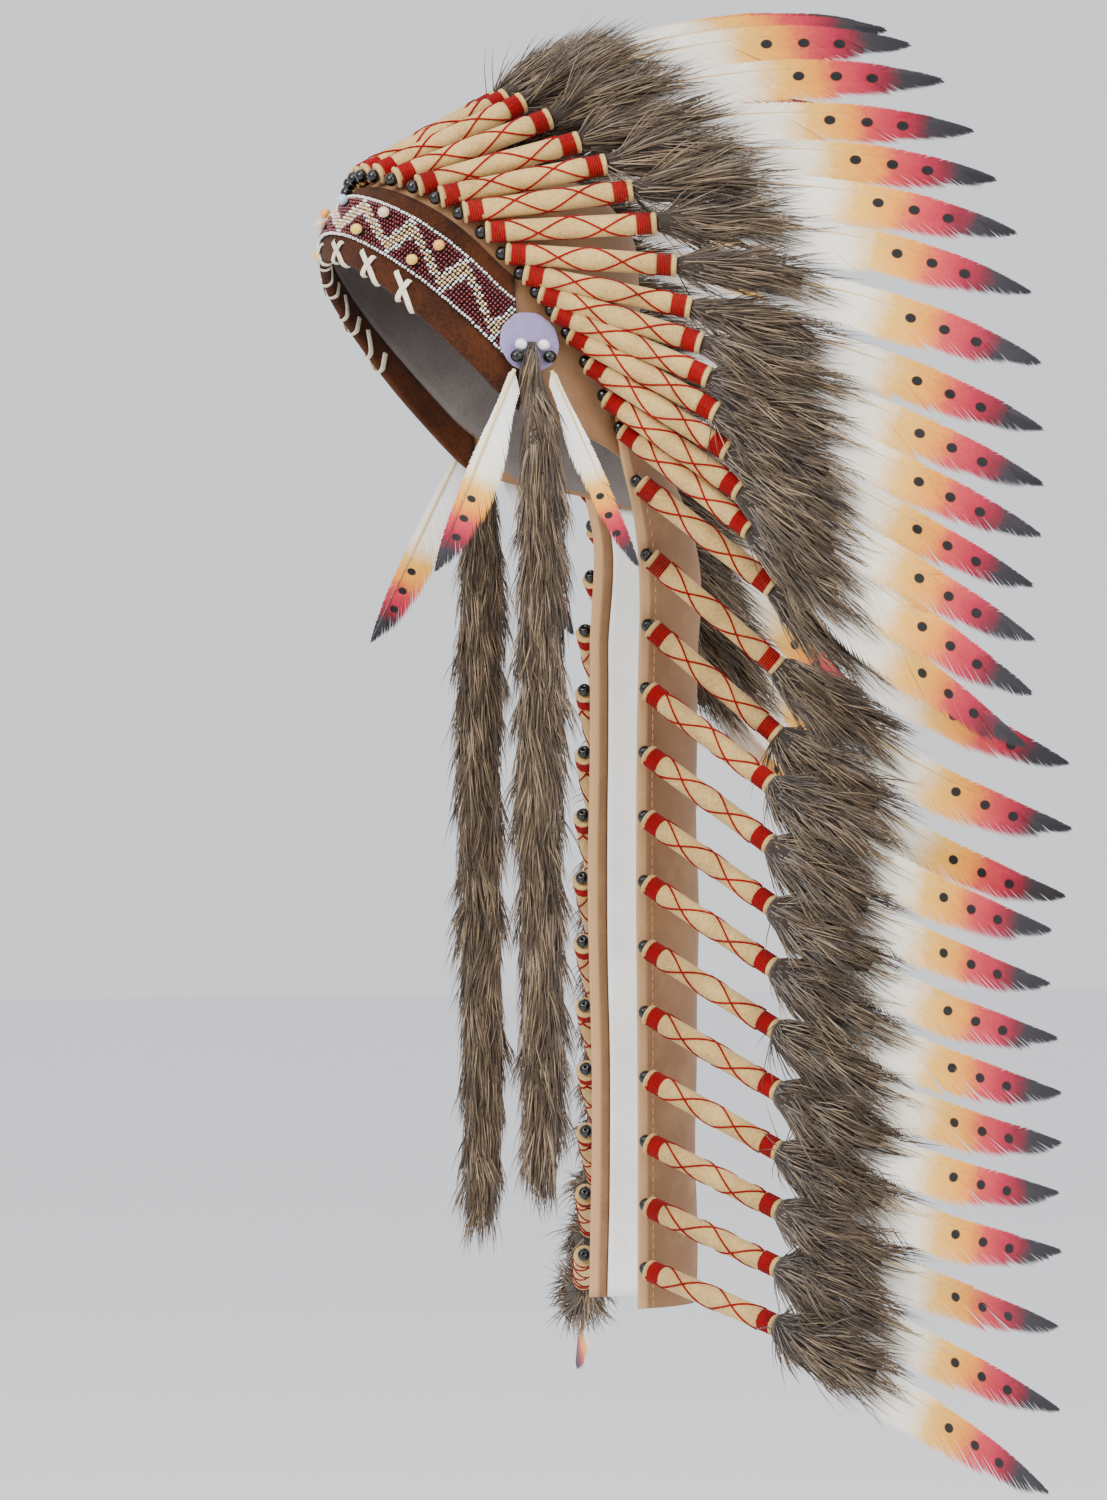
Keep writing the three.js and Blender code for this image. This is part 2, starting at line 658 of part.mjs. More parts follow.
// Black bead and felt-wrapped tube in one turned outline: distance along
// the quill and radius.
const WRAP_OUTLINE = [
  { along: 0, radius: WRAP.bead },
  { along: 3.4, radius: WRAP.radius },
  { along: WRAP.length, radius: WRAP.radius },
];

function wrapBody({ root, tubeWay }) {
  const profile = WRAP_OUTLINE.map(({ along, radius }) => new THREE.Vector2(radius, along));
  profile.unshift(new THREE.Vector2(0, -WRAP.bead));
  profile.push(new THREE.Vector2(0, WRAP.length));
  const body = new THREE.LatheGeometry(profile, 6);
  body.applyQuaternion(new THREE.Quaternion().setFromUnitVectors(v3(0, 1, 0), tubeWay));
  return body.translate(root.x, root.y, root.z);
}

// The flat of a feather stands upright, so "down" is square to its shaft.
function feathering(way) {
  const down = v3(0, 0, -1).projectOnPlane(way).normalize();
  return { down, flat: v3().crossVectors(way, down).normalize() };
}

// Sections of a plume from the wrapped quill on: a fur tuft that swells and
// draws in round the shaft, then the bare blade with its narrow vane above.
// "tuft" is the share of the tuft's size, "vane" of the blade's.
const PLUME_SECTIONS = [
  { along: 1.5, tuft: 0.5, vane: 0 },
  { along: 38, tuft: 1, vane: 0 },
  { along: 84, tuft: 0.5, vane: 0 },
  { share: 0.57, tuft: 0, vane: 1 },
  { share: 0.86, tuft: 0, vane: 0.72 },
];
const PLUME_SIDES = 6;

function plumeBody({ bladeAt, bladeLength }, { halfHeight, halfDepth }) {
  const last = PLUME_SECTIONS.length + 1;
  return closedBody((u, v) => {
    const row = Math.round(v * last);
    if (row === 0) return bladeAt(GAP);
    if (row === last) return bladeAt(bladeLength);
    const { along, share, tuft, vane } = PLUME_SECTIONS[row - 1];
    const distance = along ?? share * bladeLength;
    const centre = bladeAt(distance);
    const { down, flat } = feathering(bladeAt(distance + 1).sub(centre));
    const angle = u * 2 * Math.PI;
    const reach = Math.cos(angle) > 0 ? BLADE.wide : BLADE.narrow;
    const drop = Math.cos(angle) * (tuft * halfHeight + vane * reach);
    const side = Math.sin(angle) * (tuft * halfDepth + vane * BLADE.thick * 0.6);
    return centre.addScaledVector(down, drop).addScaledVector(flat, side);
  }, PLUME_SIDES, last);
}

// The thread that holds a stretch together, from quill to quill.
function thread(quills, placeOf) {
  const links = [];
  for (let i = 1; i < quills.length; i++) {
    links.push(rod(placeOf(quills[i - 1]), placeOf(quills[i]), 0.8, 3));
  }
  return links;
}

function quillsOf({ first, last }, side) {
  return Array.from({ length: last - first + 1 }, (_, i) => quill(first + i, side));
}

function makeWraps(stretch, side, suffix) {
  const quills = quillsOf(stretch, side);
  const links = thread(quills, ({ root, tubeWay }) => root.clone().addScaledVector(tubeWay, 20));
  add(`wrapped_quills_${stretch.name}${suffix}`, fuse([...quills.map(wrapBody), ...links]), BEIGE_FELT);
}

function makePlumes(stretch, side, suffix) {
  const quills = quillsOf(stretch, side);
  const links = thread(quills, ({ bladeAt }) => bladeAt(34));
  const plumes = quills.map((one) => plumeBody(one, stretch));
  add(`plumes_${stretch.name}${suffix}`, fuse([...plumes, ...links]), GREY_FUR);
}

// ---------------------------------------------------------------- the whole piece

makeHood();
makeBand();
makePearls();
makeLacing();
makeTrailer();
makeWraps(CENTRE_QUILL, 1, "");
makePlumes(CENTRE_QUILL, 1, "");
for (const [side, sideName] of [[1, "left"], [-1, "right"]]) {
  makeTemple(side, sideName);
  for (const stretch of WRAP_STRETCHES) makeWraps(stretch, side, `_${sideName}`);
  for (const stretch of PLUME_STRETCHES) makePlumes(stretch, side, `_${sideName}`);
}

export default group;
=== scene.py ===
# %% [markdown]
# # A feathered headdress, piece by piece
# A leather hood carries one long row of feathers. The row starts over the brow,
# passes behind each temple and runs down both edges of a hanging leather trailer.
# Each cell below makes one kind of piece: leather and felt first, then beads and
# thread, and then the fur and the feathers, which make most of what is seen.

import math

import bmesh
import bpy
import numpy as np
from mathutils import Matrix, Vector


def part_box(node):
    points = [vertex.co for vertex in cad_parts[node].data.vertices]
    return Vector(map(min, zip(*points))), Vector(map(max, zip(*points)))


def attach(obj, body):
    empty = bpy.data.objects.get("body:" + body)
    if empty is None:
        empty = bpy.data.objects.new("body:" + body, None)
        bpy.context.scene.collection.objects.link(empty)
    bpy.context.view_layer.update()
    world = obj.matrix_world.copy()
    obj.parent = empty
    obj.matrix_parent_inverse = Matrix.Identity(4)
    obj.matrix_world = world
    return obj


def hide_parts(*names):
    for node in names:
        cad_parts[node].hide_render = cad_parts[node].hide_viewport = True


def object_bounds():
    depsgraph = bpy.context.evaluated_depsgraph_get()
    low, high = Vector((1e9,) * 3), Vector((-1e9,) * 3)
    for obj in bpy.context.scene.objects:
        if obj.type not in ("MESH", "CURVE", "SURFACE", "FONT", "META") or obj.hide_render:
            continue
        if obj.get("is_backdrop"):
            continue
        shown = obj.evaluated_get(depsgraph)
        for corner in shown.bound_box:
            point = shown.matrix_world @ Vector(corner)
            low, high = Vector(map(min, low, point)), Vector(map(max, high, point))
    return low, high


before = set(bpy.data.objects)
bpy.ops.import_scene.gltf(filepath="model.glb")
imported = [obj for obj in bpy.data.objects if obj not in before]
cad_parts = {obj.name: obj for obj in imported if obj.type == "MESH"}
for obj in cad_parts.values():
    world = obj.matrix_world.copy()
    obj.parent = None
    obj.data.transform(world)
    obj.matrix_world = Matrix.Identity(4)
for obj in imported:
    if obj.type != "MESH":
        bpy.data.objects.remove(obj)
cad_low, cad_high = (list(map(float, corner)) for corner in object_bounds())
print("frame box", cad_low, cad_high)

# %% [markdown]
# ## Camera
# The camera looks at the wearer's left side from three metres, level with the
# middle of the piece. A long lens keeps both edges of the trailer nearly parallel.

# %% Camera
AZIMUTH = math.radians(78.6)
DISTANCE = 3.0
SENSOR = 0.036
MM_PER_DOT = 0.63
PICTURE = (1107, 1500)
ORIGIN_DOT = (461, 168.5)


def add_camera():
    """Stands the camera so that the hood's origin falls on its place in the view."""
    right = np.array([math.cos(AZIMUTH), math.sin(AZIMUTH), 0])
    toward = np.array([math.sin(AZIMUTH), -math.cos(AZIMUTH), 0])
    across = (PICTURE[0] / 2 - ORIGIN_DOT[0]) * MM_PER_DOT / 1000
    down = (PICTURE[1] / 2 - ORIGIN_DOT[1]) * MM_PER_DOT / 1000
    place = right * across + np.array([0, 0, -down]) + toward * DISTANCE
    data = bpy.data.cameras.new("camera")
    data.sensor_fit = "HORIZONTAL"
    data.sensor_width = SENSOR * 1000
    data.lens = data.sensor_width * DISTANCE / (PICTURE[0] * MM_PER_DOT / 1000)
    data.clip_end = 50
    camera = bpy.data.objects.new("camera", data)
    camera.location = place
    camera.rotation_euler = (math.pi / 2, 0, AZIMUTH)
    bpy.context.scene.collection.objects.link(camera)
    bpy.context.scene.camera = camera
    return camera


camera = add_camera()
print("lens", round(camera.data.lens, 1), "mm")

# %% [markdown]
# ## The shape that everything is laid on
# The hood and the trailer are laid out even on both sides, in millimetres, and
# then leaned with the head and swung round a little. These are the same sizes as
# the solid model's, so each piece falls where its solid is.

# %% Sizes of the hood and trailer
HALF_WIDTH, FRONT, BACK = 76.0, 89.0, 110.0
RISE, BROW_Z, SLOPE, NAPE_LIFT = 66.0, -83.0, 1.1, 61.0
LEATHER, LINING, GAP = 1.5, 1.2, 0.3
BAND_TOP, BAND_FELT, BAND_TURN_UP, BAND_FOLD = 54.0, 2.0, 13.5, 3.0
STRIP_LOW, STRIP_HIGH, STRIP_THICK = 14.5, 44.0, 2.0
FELT_FACE = GAP + BAND_FELT
STRIP_FACE = FELT_FACE + GAP + STRIP_THICK
STRIP_END = math.radians(6 * 360 / 22)
LEAN, SWING = math.radians(12), math.radians(13.6)
NECK_Z, TWIST_TOP, TWIST_BOTTOM = -200.0, -212.0, -330.0
WRAP_LENGTH, WRAP_RADIUS, WRAP_BEAD = 107.0, 7.0, 4.4
BLADE_LENGTH, NARROW, WIDE = 246.0, 7.0, 23.0


def smooth(x, low, high):
    t = np.clip((np.asarray(x, float) - low) / (high - low), 0, 1)
    return t * t * (3 - 2 * t)


def unit(v):
    v = np.asarray(v, float)
    return v / np.maximum(np.linalg.norm(v, axis=-1, keepdims=True), 1e-9)


def lean(points):
    """Leans the hood with the head and swings the trailer, for points in mm."""
    p = np.atleast_2d(np.asarray(points, float))
    worn = smooth(p[:, 2], TWIST_BOTTOM, TWIST_TOP)
    tilt, swing = LEAN * worn, SWING * (1 - worn)
    height = p[:, 2] - NECK_Z
    x = p[:, 0] * np.cos(tilt) - height * np.sin(tilt) - NECK_Z * math.sin(LEAN)
    z = p[:, 0] * np.sin(tilt) + height * np.cos(tilt) + NECK_Z * math.cos(LEAN)
    y = p[:, 1]
    turned = [x * np.cos(swing) - y * np.sin(swing), x * np.sin(swing) + y * np.cos(swing), z]
    return np.stack(turned, axis=-1)


CROWN = lean([0, 0, BROW_Z + RISE - LEATHER - GAP - LINING])[0]


def hang(points):
    return lean(points) - CROWN


def hang_way(points, ways):
    """How a direction at each point is turned by the lean and the swing."""
    points = np.atleast_2d(points)
    return unit(hang(points + 5 * np.atleast_2d(ways)) - hang(points))


print("crown of the hollow before it is hung", np.round(CROWN, 1))

# %% The hood's surface
def rim_z(turn):
    behind = FRONT - np.where(np.cos(turn) > 0, FRONT, BACK) * np.cos(turn)
    return BROW_Z - SLOPE * behind + NAPE_LIFT * smooth(behind, FRONT, FRONT + BACK)


def rim_tilt(turn):
    return math.atan(SLOPE) * np.abs(np.sin(turn))


def quarter_arc(turn):
    length = np.where(np.cos(turn) > 0, FRONT, BACK)
    return math.pi / 4 * (np.hypot(HALF_WIDTH * np.sin(turn), length * np.cos(turn)) + RISE)


def crown_up(turn):
    return (BROW_Z - rim_z(turn) + quarter_arc(turn)) * np.cos(rim_tilt(turn))


def on_hood(turn, up, out):
    """Points on the hood: turn from the brow, mm up from the rim and mm outward."""
    turn, up, out = np.broadcast_arrays(*(np.asarray(v, float) for v in (turn, up, out)))
    length = np.where(np.cos(turn) > 0, FRONT, BACK)
    along = up / np.cos(rim_tilt(turn))
    wall = BROW_Z - rim_z(turn)
    arc = np.clip((along - wall) / quarter_arc(turn), 0, 1) * math.pi / 2
    z = BROW_Z + np.where(arc > 0, RISE * np.sin(arc), along - wall)
    flat, tall = np.cos(arc), np.sin(arc)
    normal = np.stack([flat * np.sin(turn) / HALF_WIDTH, -flat * np.cos(turn) / length, tall / RISE], -1)
    point = np.stack([HALF_WIDTH * flat * np.sin(turn), -length * flat * np.cos(turn), z], -1)
    return point + unit(normal) * out[..., None]


rim = hang(on_hood(np.radians([0, 90, 180]), 0, 0))
print("rim at brow, temple and nape", np.round(rim, 1).tolist())

# %% The trailer's surface
TRAILER_SECTIONS = {
    "z": [-172, -208, -250, -300, -380, -480, -610, -739],
    "width": [77.6, 68, 50, 38, 34, 35, 33, 35],
    "centre": [0, 26, 62, 84, 88, 87, 89, 88],
    "depth": [111.6, 92, 72, 58, 54, 56, 53, 54],
    "reach": [45, 53, 70, 86, 90, 90, 90, 90],
}
TRAILER_TOP, TRAILER_BOTTOM, PANEL_THICK = -172.0, -739.0, 1.6


def read_table(table, key, place):
    """Reads a table between its rows by smooth curves, as the solid model does."""
    keys = table[key]
    last = len(keys) - 1
    grows = keys[last] > keys[0]
    found = [i for i, k in enumerate(keys) if (k >= place if grows else k <= place)]
    at = max(found[0], 1) if found else last
    before, after = max(at - 2, 0), min(at + 1, last)
    span = keys[at] - keys[at - 1]
    t = (place - keys[at - 1]) / span
    values = {}
    for name, row in table.items():
        slope_in = (row[at] - row[before]) / (keys[at] - keys[before]) * span
        slope_out = (row[after] - row[at - 1]) / (keys[after] - keys[at - 1]) * span
        rest = row[at] - row[at - 1]
        ease = t * t * (3 * rest - 2 * slope_in - slope_out)
        values[name] = row[at - 1] + t * slope_in + ease + t**3 * (slope_in + slope_out - 2 * rest)
    return values


def on_trailer(z, share, out):
    s = read_table(TRAILER_SECTIONS, "z", z)
    angle = np.radians(np.asarray(share, float) * s["reach"])
    flat = np.zeros_like(angle)
    normal = unit(np.stack([np.sin(angle) / s["width"], np.cos(angle) / s["depth"], flat], -1))
    x, y = s["width"] * np.sin(angle), s["centre"] + s["depth"] * np.cos(angle)
    return np.stack([x, y, flat + z], -1) + normal * np.asarray(out, float)[..., None]


print("trailer's hem edge", np.round(hang(on_trailer(-739, np.array([1.0]), np.array([0.0]))), 1).tolist())

# %% Where each quill sits
HOOD_QUILLS = {
    "quill": [0, 3, 5, 8, 10, 13, 16],
    "round": [0, 38, 61, 87, 99, 114, 134],
    "up": [57, 56, 57, 58, 55, 42, 10],
    "out": [0, 4, 8, 12, 14, 19, 25],
    "rise": [31, 27, 14.5, 0.5, -15, -33, -43],
    "out_tip": [0, 4, 8, 15, 18, 24, 29],
    "rise_tip": [14, 8, 0, -15, -24, -34, -43],
    "blade": [1.06, 1.08, 1.03, 0.98, 0.94, 0.92, 0.9],
}
TRAILER_QUILLS = {
    "quill": [15, 17, 18, 20, 23, 26, 29],
    "z": [-172, -237, -275, -352, -472, -594, -713],
    "out": [20, 29, 40, 55, 57, 59, 65],
    "rise": [-40, -42, -40, -34, -29, -23, -15],
    "out_tip": [26, 37, 49, 61, 63, 64, 66],
    "rise_tip": [-35, -34, -27, -23, -18, -13, -22],
    "blade": [0.88, 0.88, 0.89, 0.89, 0.89, 0.86, 0.89],
}
LAST_HOOD_QUILL, LAST_QUILL = 16, 29


def aim(out, rise):
    out, rise = math.radians(out), math.radians(rise)
    return np.array([math.cos(rise) * math.sin(out), math.cos(rise) * math.cos(out), math.sin(rise)])


class Quill:
    """One feather of the row: its seat, its two directions and its bent blade."""

    def __init__(self, number, side):
        self.number, self.side = number, side
        hooded = number <= LAST_HOOD_QUILL
        row = read_table(HOOD_QUILLS if hooded else TRAILER_QUILLS, "quill", number)
        clear = WRAP_RADIUS + 5 * GAP
        if hooded:
            seat = on_hood(math.radians(row["round"]), row["up"], clear)
        else:
            seat = on_trailer(row["z"], np.array(1.0), np.array(PANEL_THICK + clear))
        mirror = np.array([side, 1, 1])
        seat = seat * mirror
        tube, tip = aim(row["out"], row["rise"]) * mirror, aim(row["out_tip"], row["rise_tip"]) * mirror
        self.root = hang(seat)[0]
        self.tube_way, self.tip_way = hang_way(seat, tube)[0], hang_way(seat, tip)[0]
        self.end = self.root + self.tube_way * WRAP_LENGTH
        self.last_way = unit(2 * self.tip_way - self.tube_way)
        self.length = BLADE_LENGTH * row["blade"]

    def at(self, distance):
        """Points along the bare feather, from the end of its wrap, and its way."""
        distance = np.atleast_1d(np.asarray(distance, float))
        share = (distance / self.length)[:, None]
        line = self.tube_way * (1 - share / 2) + self.last_way * share / 2
        way = self.tube_way * (1 - share) + self.last_way * share
        return self.end + distance[:, None] * line, unit(way)


QUILLS = [Quill(0, 1)] + [Quill(n, s) for s in (1, -1) for n in range(1, LAST_QUILL + 1)]
print(len(QUILLS), "quills")


def across(ways):
    """Down and flat-side directions of an upright feather, for its ways."""
    down = np.array([0, 0, -1.0]) - ways * (ways @ np.array([0, 0, -1.0]))[:, None]
    down = unit(down)
    return down, np.cross(ways, down)


# %% [markdown]
# ## Building meshes
# Points and faces come from NumPy as whole arrays, which is far quicker than
# adding them one by one. A tube, a ribbon and a wall are all grids of points that
# close round one direction, so one helper makes them all.

# %% Mesh helpers
class Pile:
    """Collects points (mm), faces and their values, and makes one mesh."""

    def __init__(self):
        self.points, self.faces, self.slots, self.uvs, self.tones = [], [], [], [], []
        self.count = 0

    def add(self, points, faces, slot=0, uv=None, tone=0.5):
        points = np.asarray(points, float).reshape(-1, 3)
        self.points.append(points)
        self.faces.extend(tuple(int(i) + self.count for i in face) for face in faces)
        self.slots.extend([slot] * len(faces))
        self.uvs.append(np.zeros((len(points), 2)) if uv is None else np.asarray(uv, float).reshape(-1, 2))
        self.tones.append(np.full(len(points), float(tone)) if np.isscalar(tone) else np.asarray(tone, float))
        self.count += len(points)

    def make(self, name, materials, smooth_faces=True, vectors=None):
        mesh = bpy.data.meshes.new(name)
        points = np.concatenate(self.points) / 1000
        mesh.from_pydata(points.tolist(), [], self.faces)
        for material in materials:
            mesh.materials.append(material)
        mesh.polygons.foreach_set("material_index", self.slots)
        mesh.polygons.foreach_set("use_smooth", [smooth_faces] * len(self.faces))
        uvs = np.concatenate(self.uvs)
        corner_points = np.empty(len(mesh.loops), int)
        mesh.loops.foreach_get("vertex_index", corner_points)
        layer = mesh.uv_layers.new(name="surface")
        layer.data.foreach_set("uv", uvs[corner_points].ravel())
        tone = mesh.attributes.new("tone", "FLOAT", "POINT")
        tone.data.foreach_set("value", np.concatenate(self.tones))
        for label, values in (vectors or {}).items():
            attribute = mesh.attributes.new(label, "FLOAT_VECTOR", "POINT")
            attribute.data.foreach_set("vector", np.asarray(values, float).ravel())
        mesh.update()
        piece = bpy.data.objects.new(name, mesh)
        bpy.context.scene.collection.objects.link(piece)
        return piece


def grid_faces(rows, columns, round_rows=False, round_columns=False):
    """Faces of a grid of points, row after row, closed round where asked."""
    faces = []
    for i in range(rows if round_rows else rows - 1):
        for j in range(columns if round_columns else columns - 1):
            i2, j2 = (i + 1) % rows, (j + 1) % columns
            faces.append((i * columns + j, i * columns + j2, i2 * columns + j2, i2 * columns + j))
    return faces


def tube_faces(rows, sides):
    """Faces of a closed tube: its wall and its two ends."""
    faces = grid_faces(rows, sides, round_columns=True)
    faces.append(tuple(range(sides))[::-1])
    faces.append(tuple((rows - 1) * sides + j for j in range(sides)))
    return faces


def outward(points, faces):
    """The faces, turned to point out if the body they close is inside out."""
    points = np.asarray(points, float).reshape(-1, 3)
    total = 0.0
    for face in faces:
        a = points[face[0]]
        for j in range(1, len(face) - 1):
            total += np.dot(a, np.cross(points[face[j]], points[face[j + 1]]))
    return faces if total > 0 else [tuple(reversed(face)) for face in faces]


def report(piece):
    """Prints a piece's triangles and size in millimetres."""
    mesh = piece.data
    triangles = sum(len(p.vertices) - 2 for p in mesh.polygons)
    spread = np.ptp(np.array([v.co for v in mesh.vertices]), axis=0) * 1000
    print(f"{piece.name}: {triangles} triangles, {np.round(spread).tolist()} mm")
    return piece


print("helpers ready")

# %% [markdown]
# ## Finishes
# Leather, suede and felt differ mostly in scale: leather has a fine pebbled grain
# and soft creases, suede a short nap that catches light unevenly, and felt a tangle
# of fibres. Each is noise at two or three sizes, mixed into the colour and the
# bump. All of it reads Object coordinates, so it is fixed to the piece.

# %% Material helpers
def shade(red, green, blue, alpha=1.0):
    """A colour from its everyday 0 to 255 values, as the linear light Blender wants."""
    channels = [v / 255 for v in (red, green, blue)]
    return [c / 12.92 if c <= 0.04045 else ((c + 0.055) / 1.055) ** 2.4 for c in channels] + [alpha]


class Finish:
    """A material under construction: nodes are added by type and joined by name."""

    def __init__(self, name, roughness=0.8, sheen=0.0, coat=0.0, specular=0.5):
        self.material = bpy.data.materials.new(name)
        self.material.use_nodes = True
        self.tree = self.material.node_tree
        self.surface = self.tree.nodes["Principled BSDF"]
        self.surface.inputs["Roughness"].default_value = roughness
        self.surface.inputs["Sheen Weight"].default_value = sheen
        self.surface.inputs["Coat Weight"].default_value = coat
        self.surface.inputs["Specular IOR Level"].default_value = specular
        self.place = self.node("TexCoord").outputs["Object"]

    def node(self, kind, values=None, **settings):
        node = self.tree.nodes.new("ShaderNode" + kind)
        for key, value in settings.items():
            setattr(node, key, value)
        for key, value in (values or {}).items():
            if isinstance(value, bpy.types.NodeSocket):
                self.tree.links.new(value, node.inputs[key])
            else:
                node.inputs[key].default_value = value
        return node

    def noise(self, scale, detail=4.0, roughness=0.6, place=None):
        values = {"Vector": place or self.place, "Scale": scale, "Detail": detail, "Roughness": roughness}
        return self.node("TexNoise", values).outputs["Fac"]

    def math(self, operation, first, second=0.0, clamp=False):
        return self.node("Math", {0: first, 1: second}, operation=operation, use_clamp=clamp).outputs[0]

    def spread(self, value, low, high):
        """Stretches a value so that low becomes 0 and high becomes 1."""
        values = {"Value": value, "From Min": low, "From Max": high}
        return self.node("MapRange", values).outputs["Result"]

    def blend(self, share, first, second, kind="MIX"):
        node = self.node("Mix", data_type="RGBA", blend_type=kind)
        for key, value in ((0, share), (6, first), (7, second)):
            if isinstance(value, bpy.types.NodeSocket):
                self.tree.links.new(value, node.inputs[key])
            else:
                node.inputs[key].default_value = value
        return node.outputs[2]

    def ramp(self, value, stops, kind="LINEAR"):
        node = self.node("ValToRGB", {"Fac": value})
        node.color_ramp.interpolation = kind
        elements = node.color_ramp.elements
        while len(elements) < len(stops):
            elements.new(0.5)
        for element, (place, colour) in zip(elements, stops):
            element.position = place
            element.color = colour
        return node.outputs["Color"]

    def colour(self, socket):
        if isinstance(socket, bpy.types.NodeSocket):
            self.tree.links.new(socket, self.surface.inputs["Base Color"])
        else:
            self.surface.inputs["Base Color"].default_value = socket
        return self

    def bump(self, height, distance, strength=1.0):
        values = {"Height": height, "Distance": distance, "Strength": strength}
        normal = self.node("Bump", values).outputs["Normal"]
        self.tree.links.new(normal, self.surface.inputs["Normal"])
        return self


def leather(name, base, dark, light, hem=False):
    """Soft chrome-tanned leather: pebbled grain, creases, and a paler fold at a hem."""
    f = Finish(name, roughness=0.62, sheen=0.05)
    cells = f.node("TexVoronoi", {"Vector": f.place, "Scale": 900.0}).outputs["Distance"]
    crease = f.noise(45.0, 6.0, 0.65)
    cloudy = f.noise(14.0, 3.0, 0.5)
    body = f.blend(f.spread(cloudy, 0.3, 0.7), dark, base)
    rubbed = f.blend(f.math("MULTIPLY", f.spread(crease, 0.5, 0.85), 0.45), body, light)
    if hem:
        surface = f.node("UVMap", uv_map="surface").outputs["UV"]
        share = f.node("SeparateXYZ", {"Vector": surface}).outputs["X"]
        edge = f.spread(f.math("ABSOLUTE", share), 0.925, 0.95)
        rubbed = f.blend(edge, rubbed, light)
    f.colour(rubbed)
    height = f.math("ADD", f.math("MULTIPLY", cells, 0.35), f.math("MULTIPLY", crease, 1.2))
    return f.bump(height, 0.0008, 0.7).material


def felt(name, base, dark, scale=1400.0, sheen=0.35, depth=0.0007):
    """Felt or suede: a short tangled nap over soft cloudy patches."""
    f = Finish(name, roughness=0.95, sheen=sheen, specular=0.2)
    fibre = f.noise(scale, 5.0, 0.75)
    patch = f.noise(38.0, 4.0, 0.6)
    tangle = f.math("ADD", f.math("MULTIPLY", fibre, 0.6), f.math("MULTIPLY", patch, 0.4))
    f.colour(f.blend(f.spread(tangle, 0.36, 0.6), dark, base))
    return f.bump(fibre, depth, 0.9).material


def woven(name, base, dark):
    """A plain woven lining: two sets of fine threads crossing."""
    f = Finish(name, roughness=0.9, sheen=0.15, specular=0.25)
    warp = f.node("TexWave", {"Vector": f.place, "Scale": 260.0, "Distortion": 1.5}, bands_direction="Z")
    weft = f.node("TexWave", {"Vector": f.place, "Scale": 260.0, "Distortion": 1.5}, bands_direction="X")
    cloth = f.math("MULTIPLY", warp.outputs["Fac"], weft.outputs["Fac"])
    soiled = f.noise(20.0, 4.0, 0.6)
    f.colour(f.blend(f.spread(soiled, 0.3, 0.7), dark, base))
    return f.bump(cloth, 0.0003, 0.6).material


def glazed(name, base, roughness=0.16, coat=0.6, by_tone=None):
    """Glass or plastic beads: a smooth coated body, its tint from "tone" if asked."""
    f = Finish(name, roughness=roughness, coat=coat)
    if by_tone:
        tone = f.node("Attribute", attribute_name="tone").outputs["Fac"]
        return f.colour(f.ramp(tone, by_tone, "CONSTANT")).material
    return f.colour(f.blend(f.noise(300.0, 2.0), base, [c * 0.82 for c in base[:3]] + [1])).material


TAN, TAN_CREASE = shade(150, 108, 68), shade(128, 90, 55)
TAN_LEATHER = leather("tan_leather", TAN, TAN_CREASE, shade(172, 130, 88))
HEMMED_LEATHER = leather("hemmed_leather", TAN, TAN_CREASE, shade(196, 152, 102), True)
GREY_LINING = felt("grey_lining", shade(122, 113, 108), shade(96, 88, 84), 900.0, 0.2)
BROWN_SUEDE = felt("brown_suede", shade(80, 38, 11), shade(31, 13, 3), 520.0, 0.06, 0.0012)
BEIGE_FELT = felt("beige_felt", shade(216, 180, 112), shade(166, 130, 76), 620.0, 0.15)
LAVENDER_FELT = felt("lavender_felt", shade(158, 144, 184), shade(118, 104, 146), 1200.0, 0.3)
WHITE_LINING = woven("white_lining", shade(252, 251, 248), shade(236, 233, 228))
IVORY_THONG = leather("ivory_thong", shade(236, 226, 202), shade(205, 190, 160), shade(246, 240, 224))
TAN_THREAD = felt("tan_thread", shade(214, 176, 124), shade(180, 140, 92), 2600.0, 0.15, 0.0004)
RED_THREAD = felt("red_thread", shade(160, 0, 6), shade(92, 0, 5), 2600.0, 0.02, 0.0004)
BLACK_BEAD = glazed("black_bead", shade(4, 4, 5), 0.18, 0.1)
WHITE_BEAD = glazed("white_bead", shade(240, 238, 240), 0.2, 0.8)
BLACK_BACKING = felt("black_backing", shade(30, 24, 24), shade(16, 12, 12), 1500.0, 0.1)
SEED_TINTS = [
    (0.0, shade(240, 236, 230)),
    (0.25, shade(226, 190, 138)),
    (0.5, shade(104, 6, 18)),
    (0.75, shade(20, 16, 18)),
]
SEED_BEAD = glazed("seed_bead", None, 0.22, 0.7, SEED_TINTS)
print("materials", len(bpy.data.materials))

# %% [markdown]
# ## Pearls
# A pearl's glow is a pale coat over a tinted body: the coat stays sharp while the
# body under it is softer, and the body's colour is painted paler towards the rim as
# the surface turns from view, a painted sheen. Four tints are used in turn along the strip.

# %% Pearls
PEARL_TINTS = {
    "beige": shade(222, 184, 152),
    "blue": shade(178, 192, 212),
    "yellow": shade(228, 182, 40),
    "orange": shade(226, 150, 28),
}
PEARL_ORDER = ["beige", "blue", "yellow", "beige", "yellow", "orange"]


def pearl_finish(tint):
    f = Finish(f"pearl_{tint}", roughness=0.28, coat=0.9, sheen=0.2)
    # Painted sheen: the colour goes from the tint to this paler one where the surface turns away from view,
    # towards the rim.
    pale = [min(1.0, c * 1.25 + 0.03) for c in PEARL_TINTS[tint][:3]] + [1]
    rim = f.node("LayerWeight", {"Blend": 0.35}).outputs["Facing"]
    return f.colour(f.blend(rim, PEARL_TINTS[tint], pale)).material


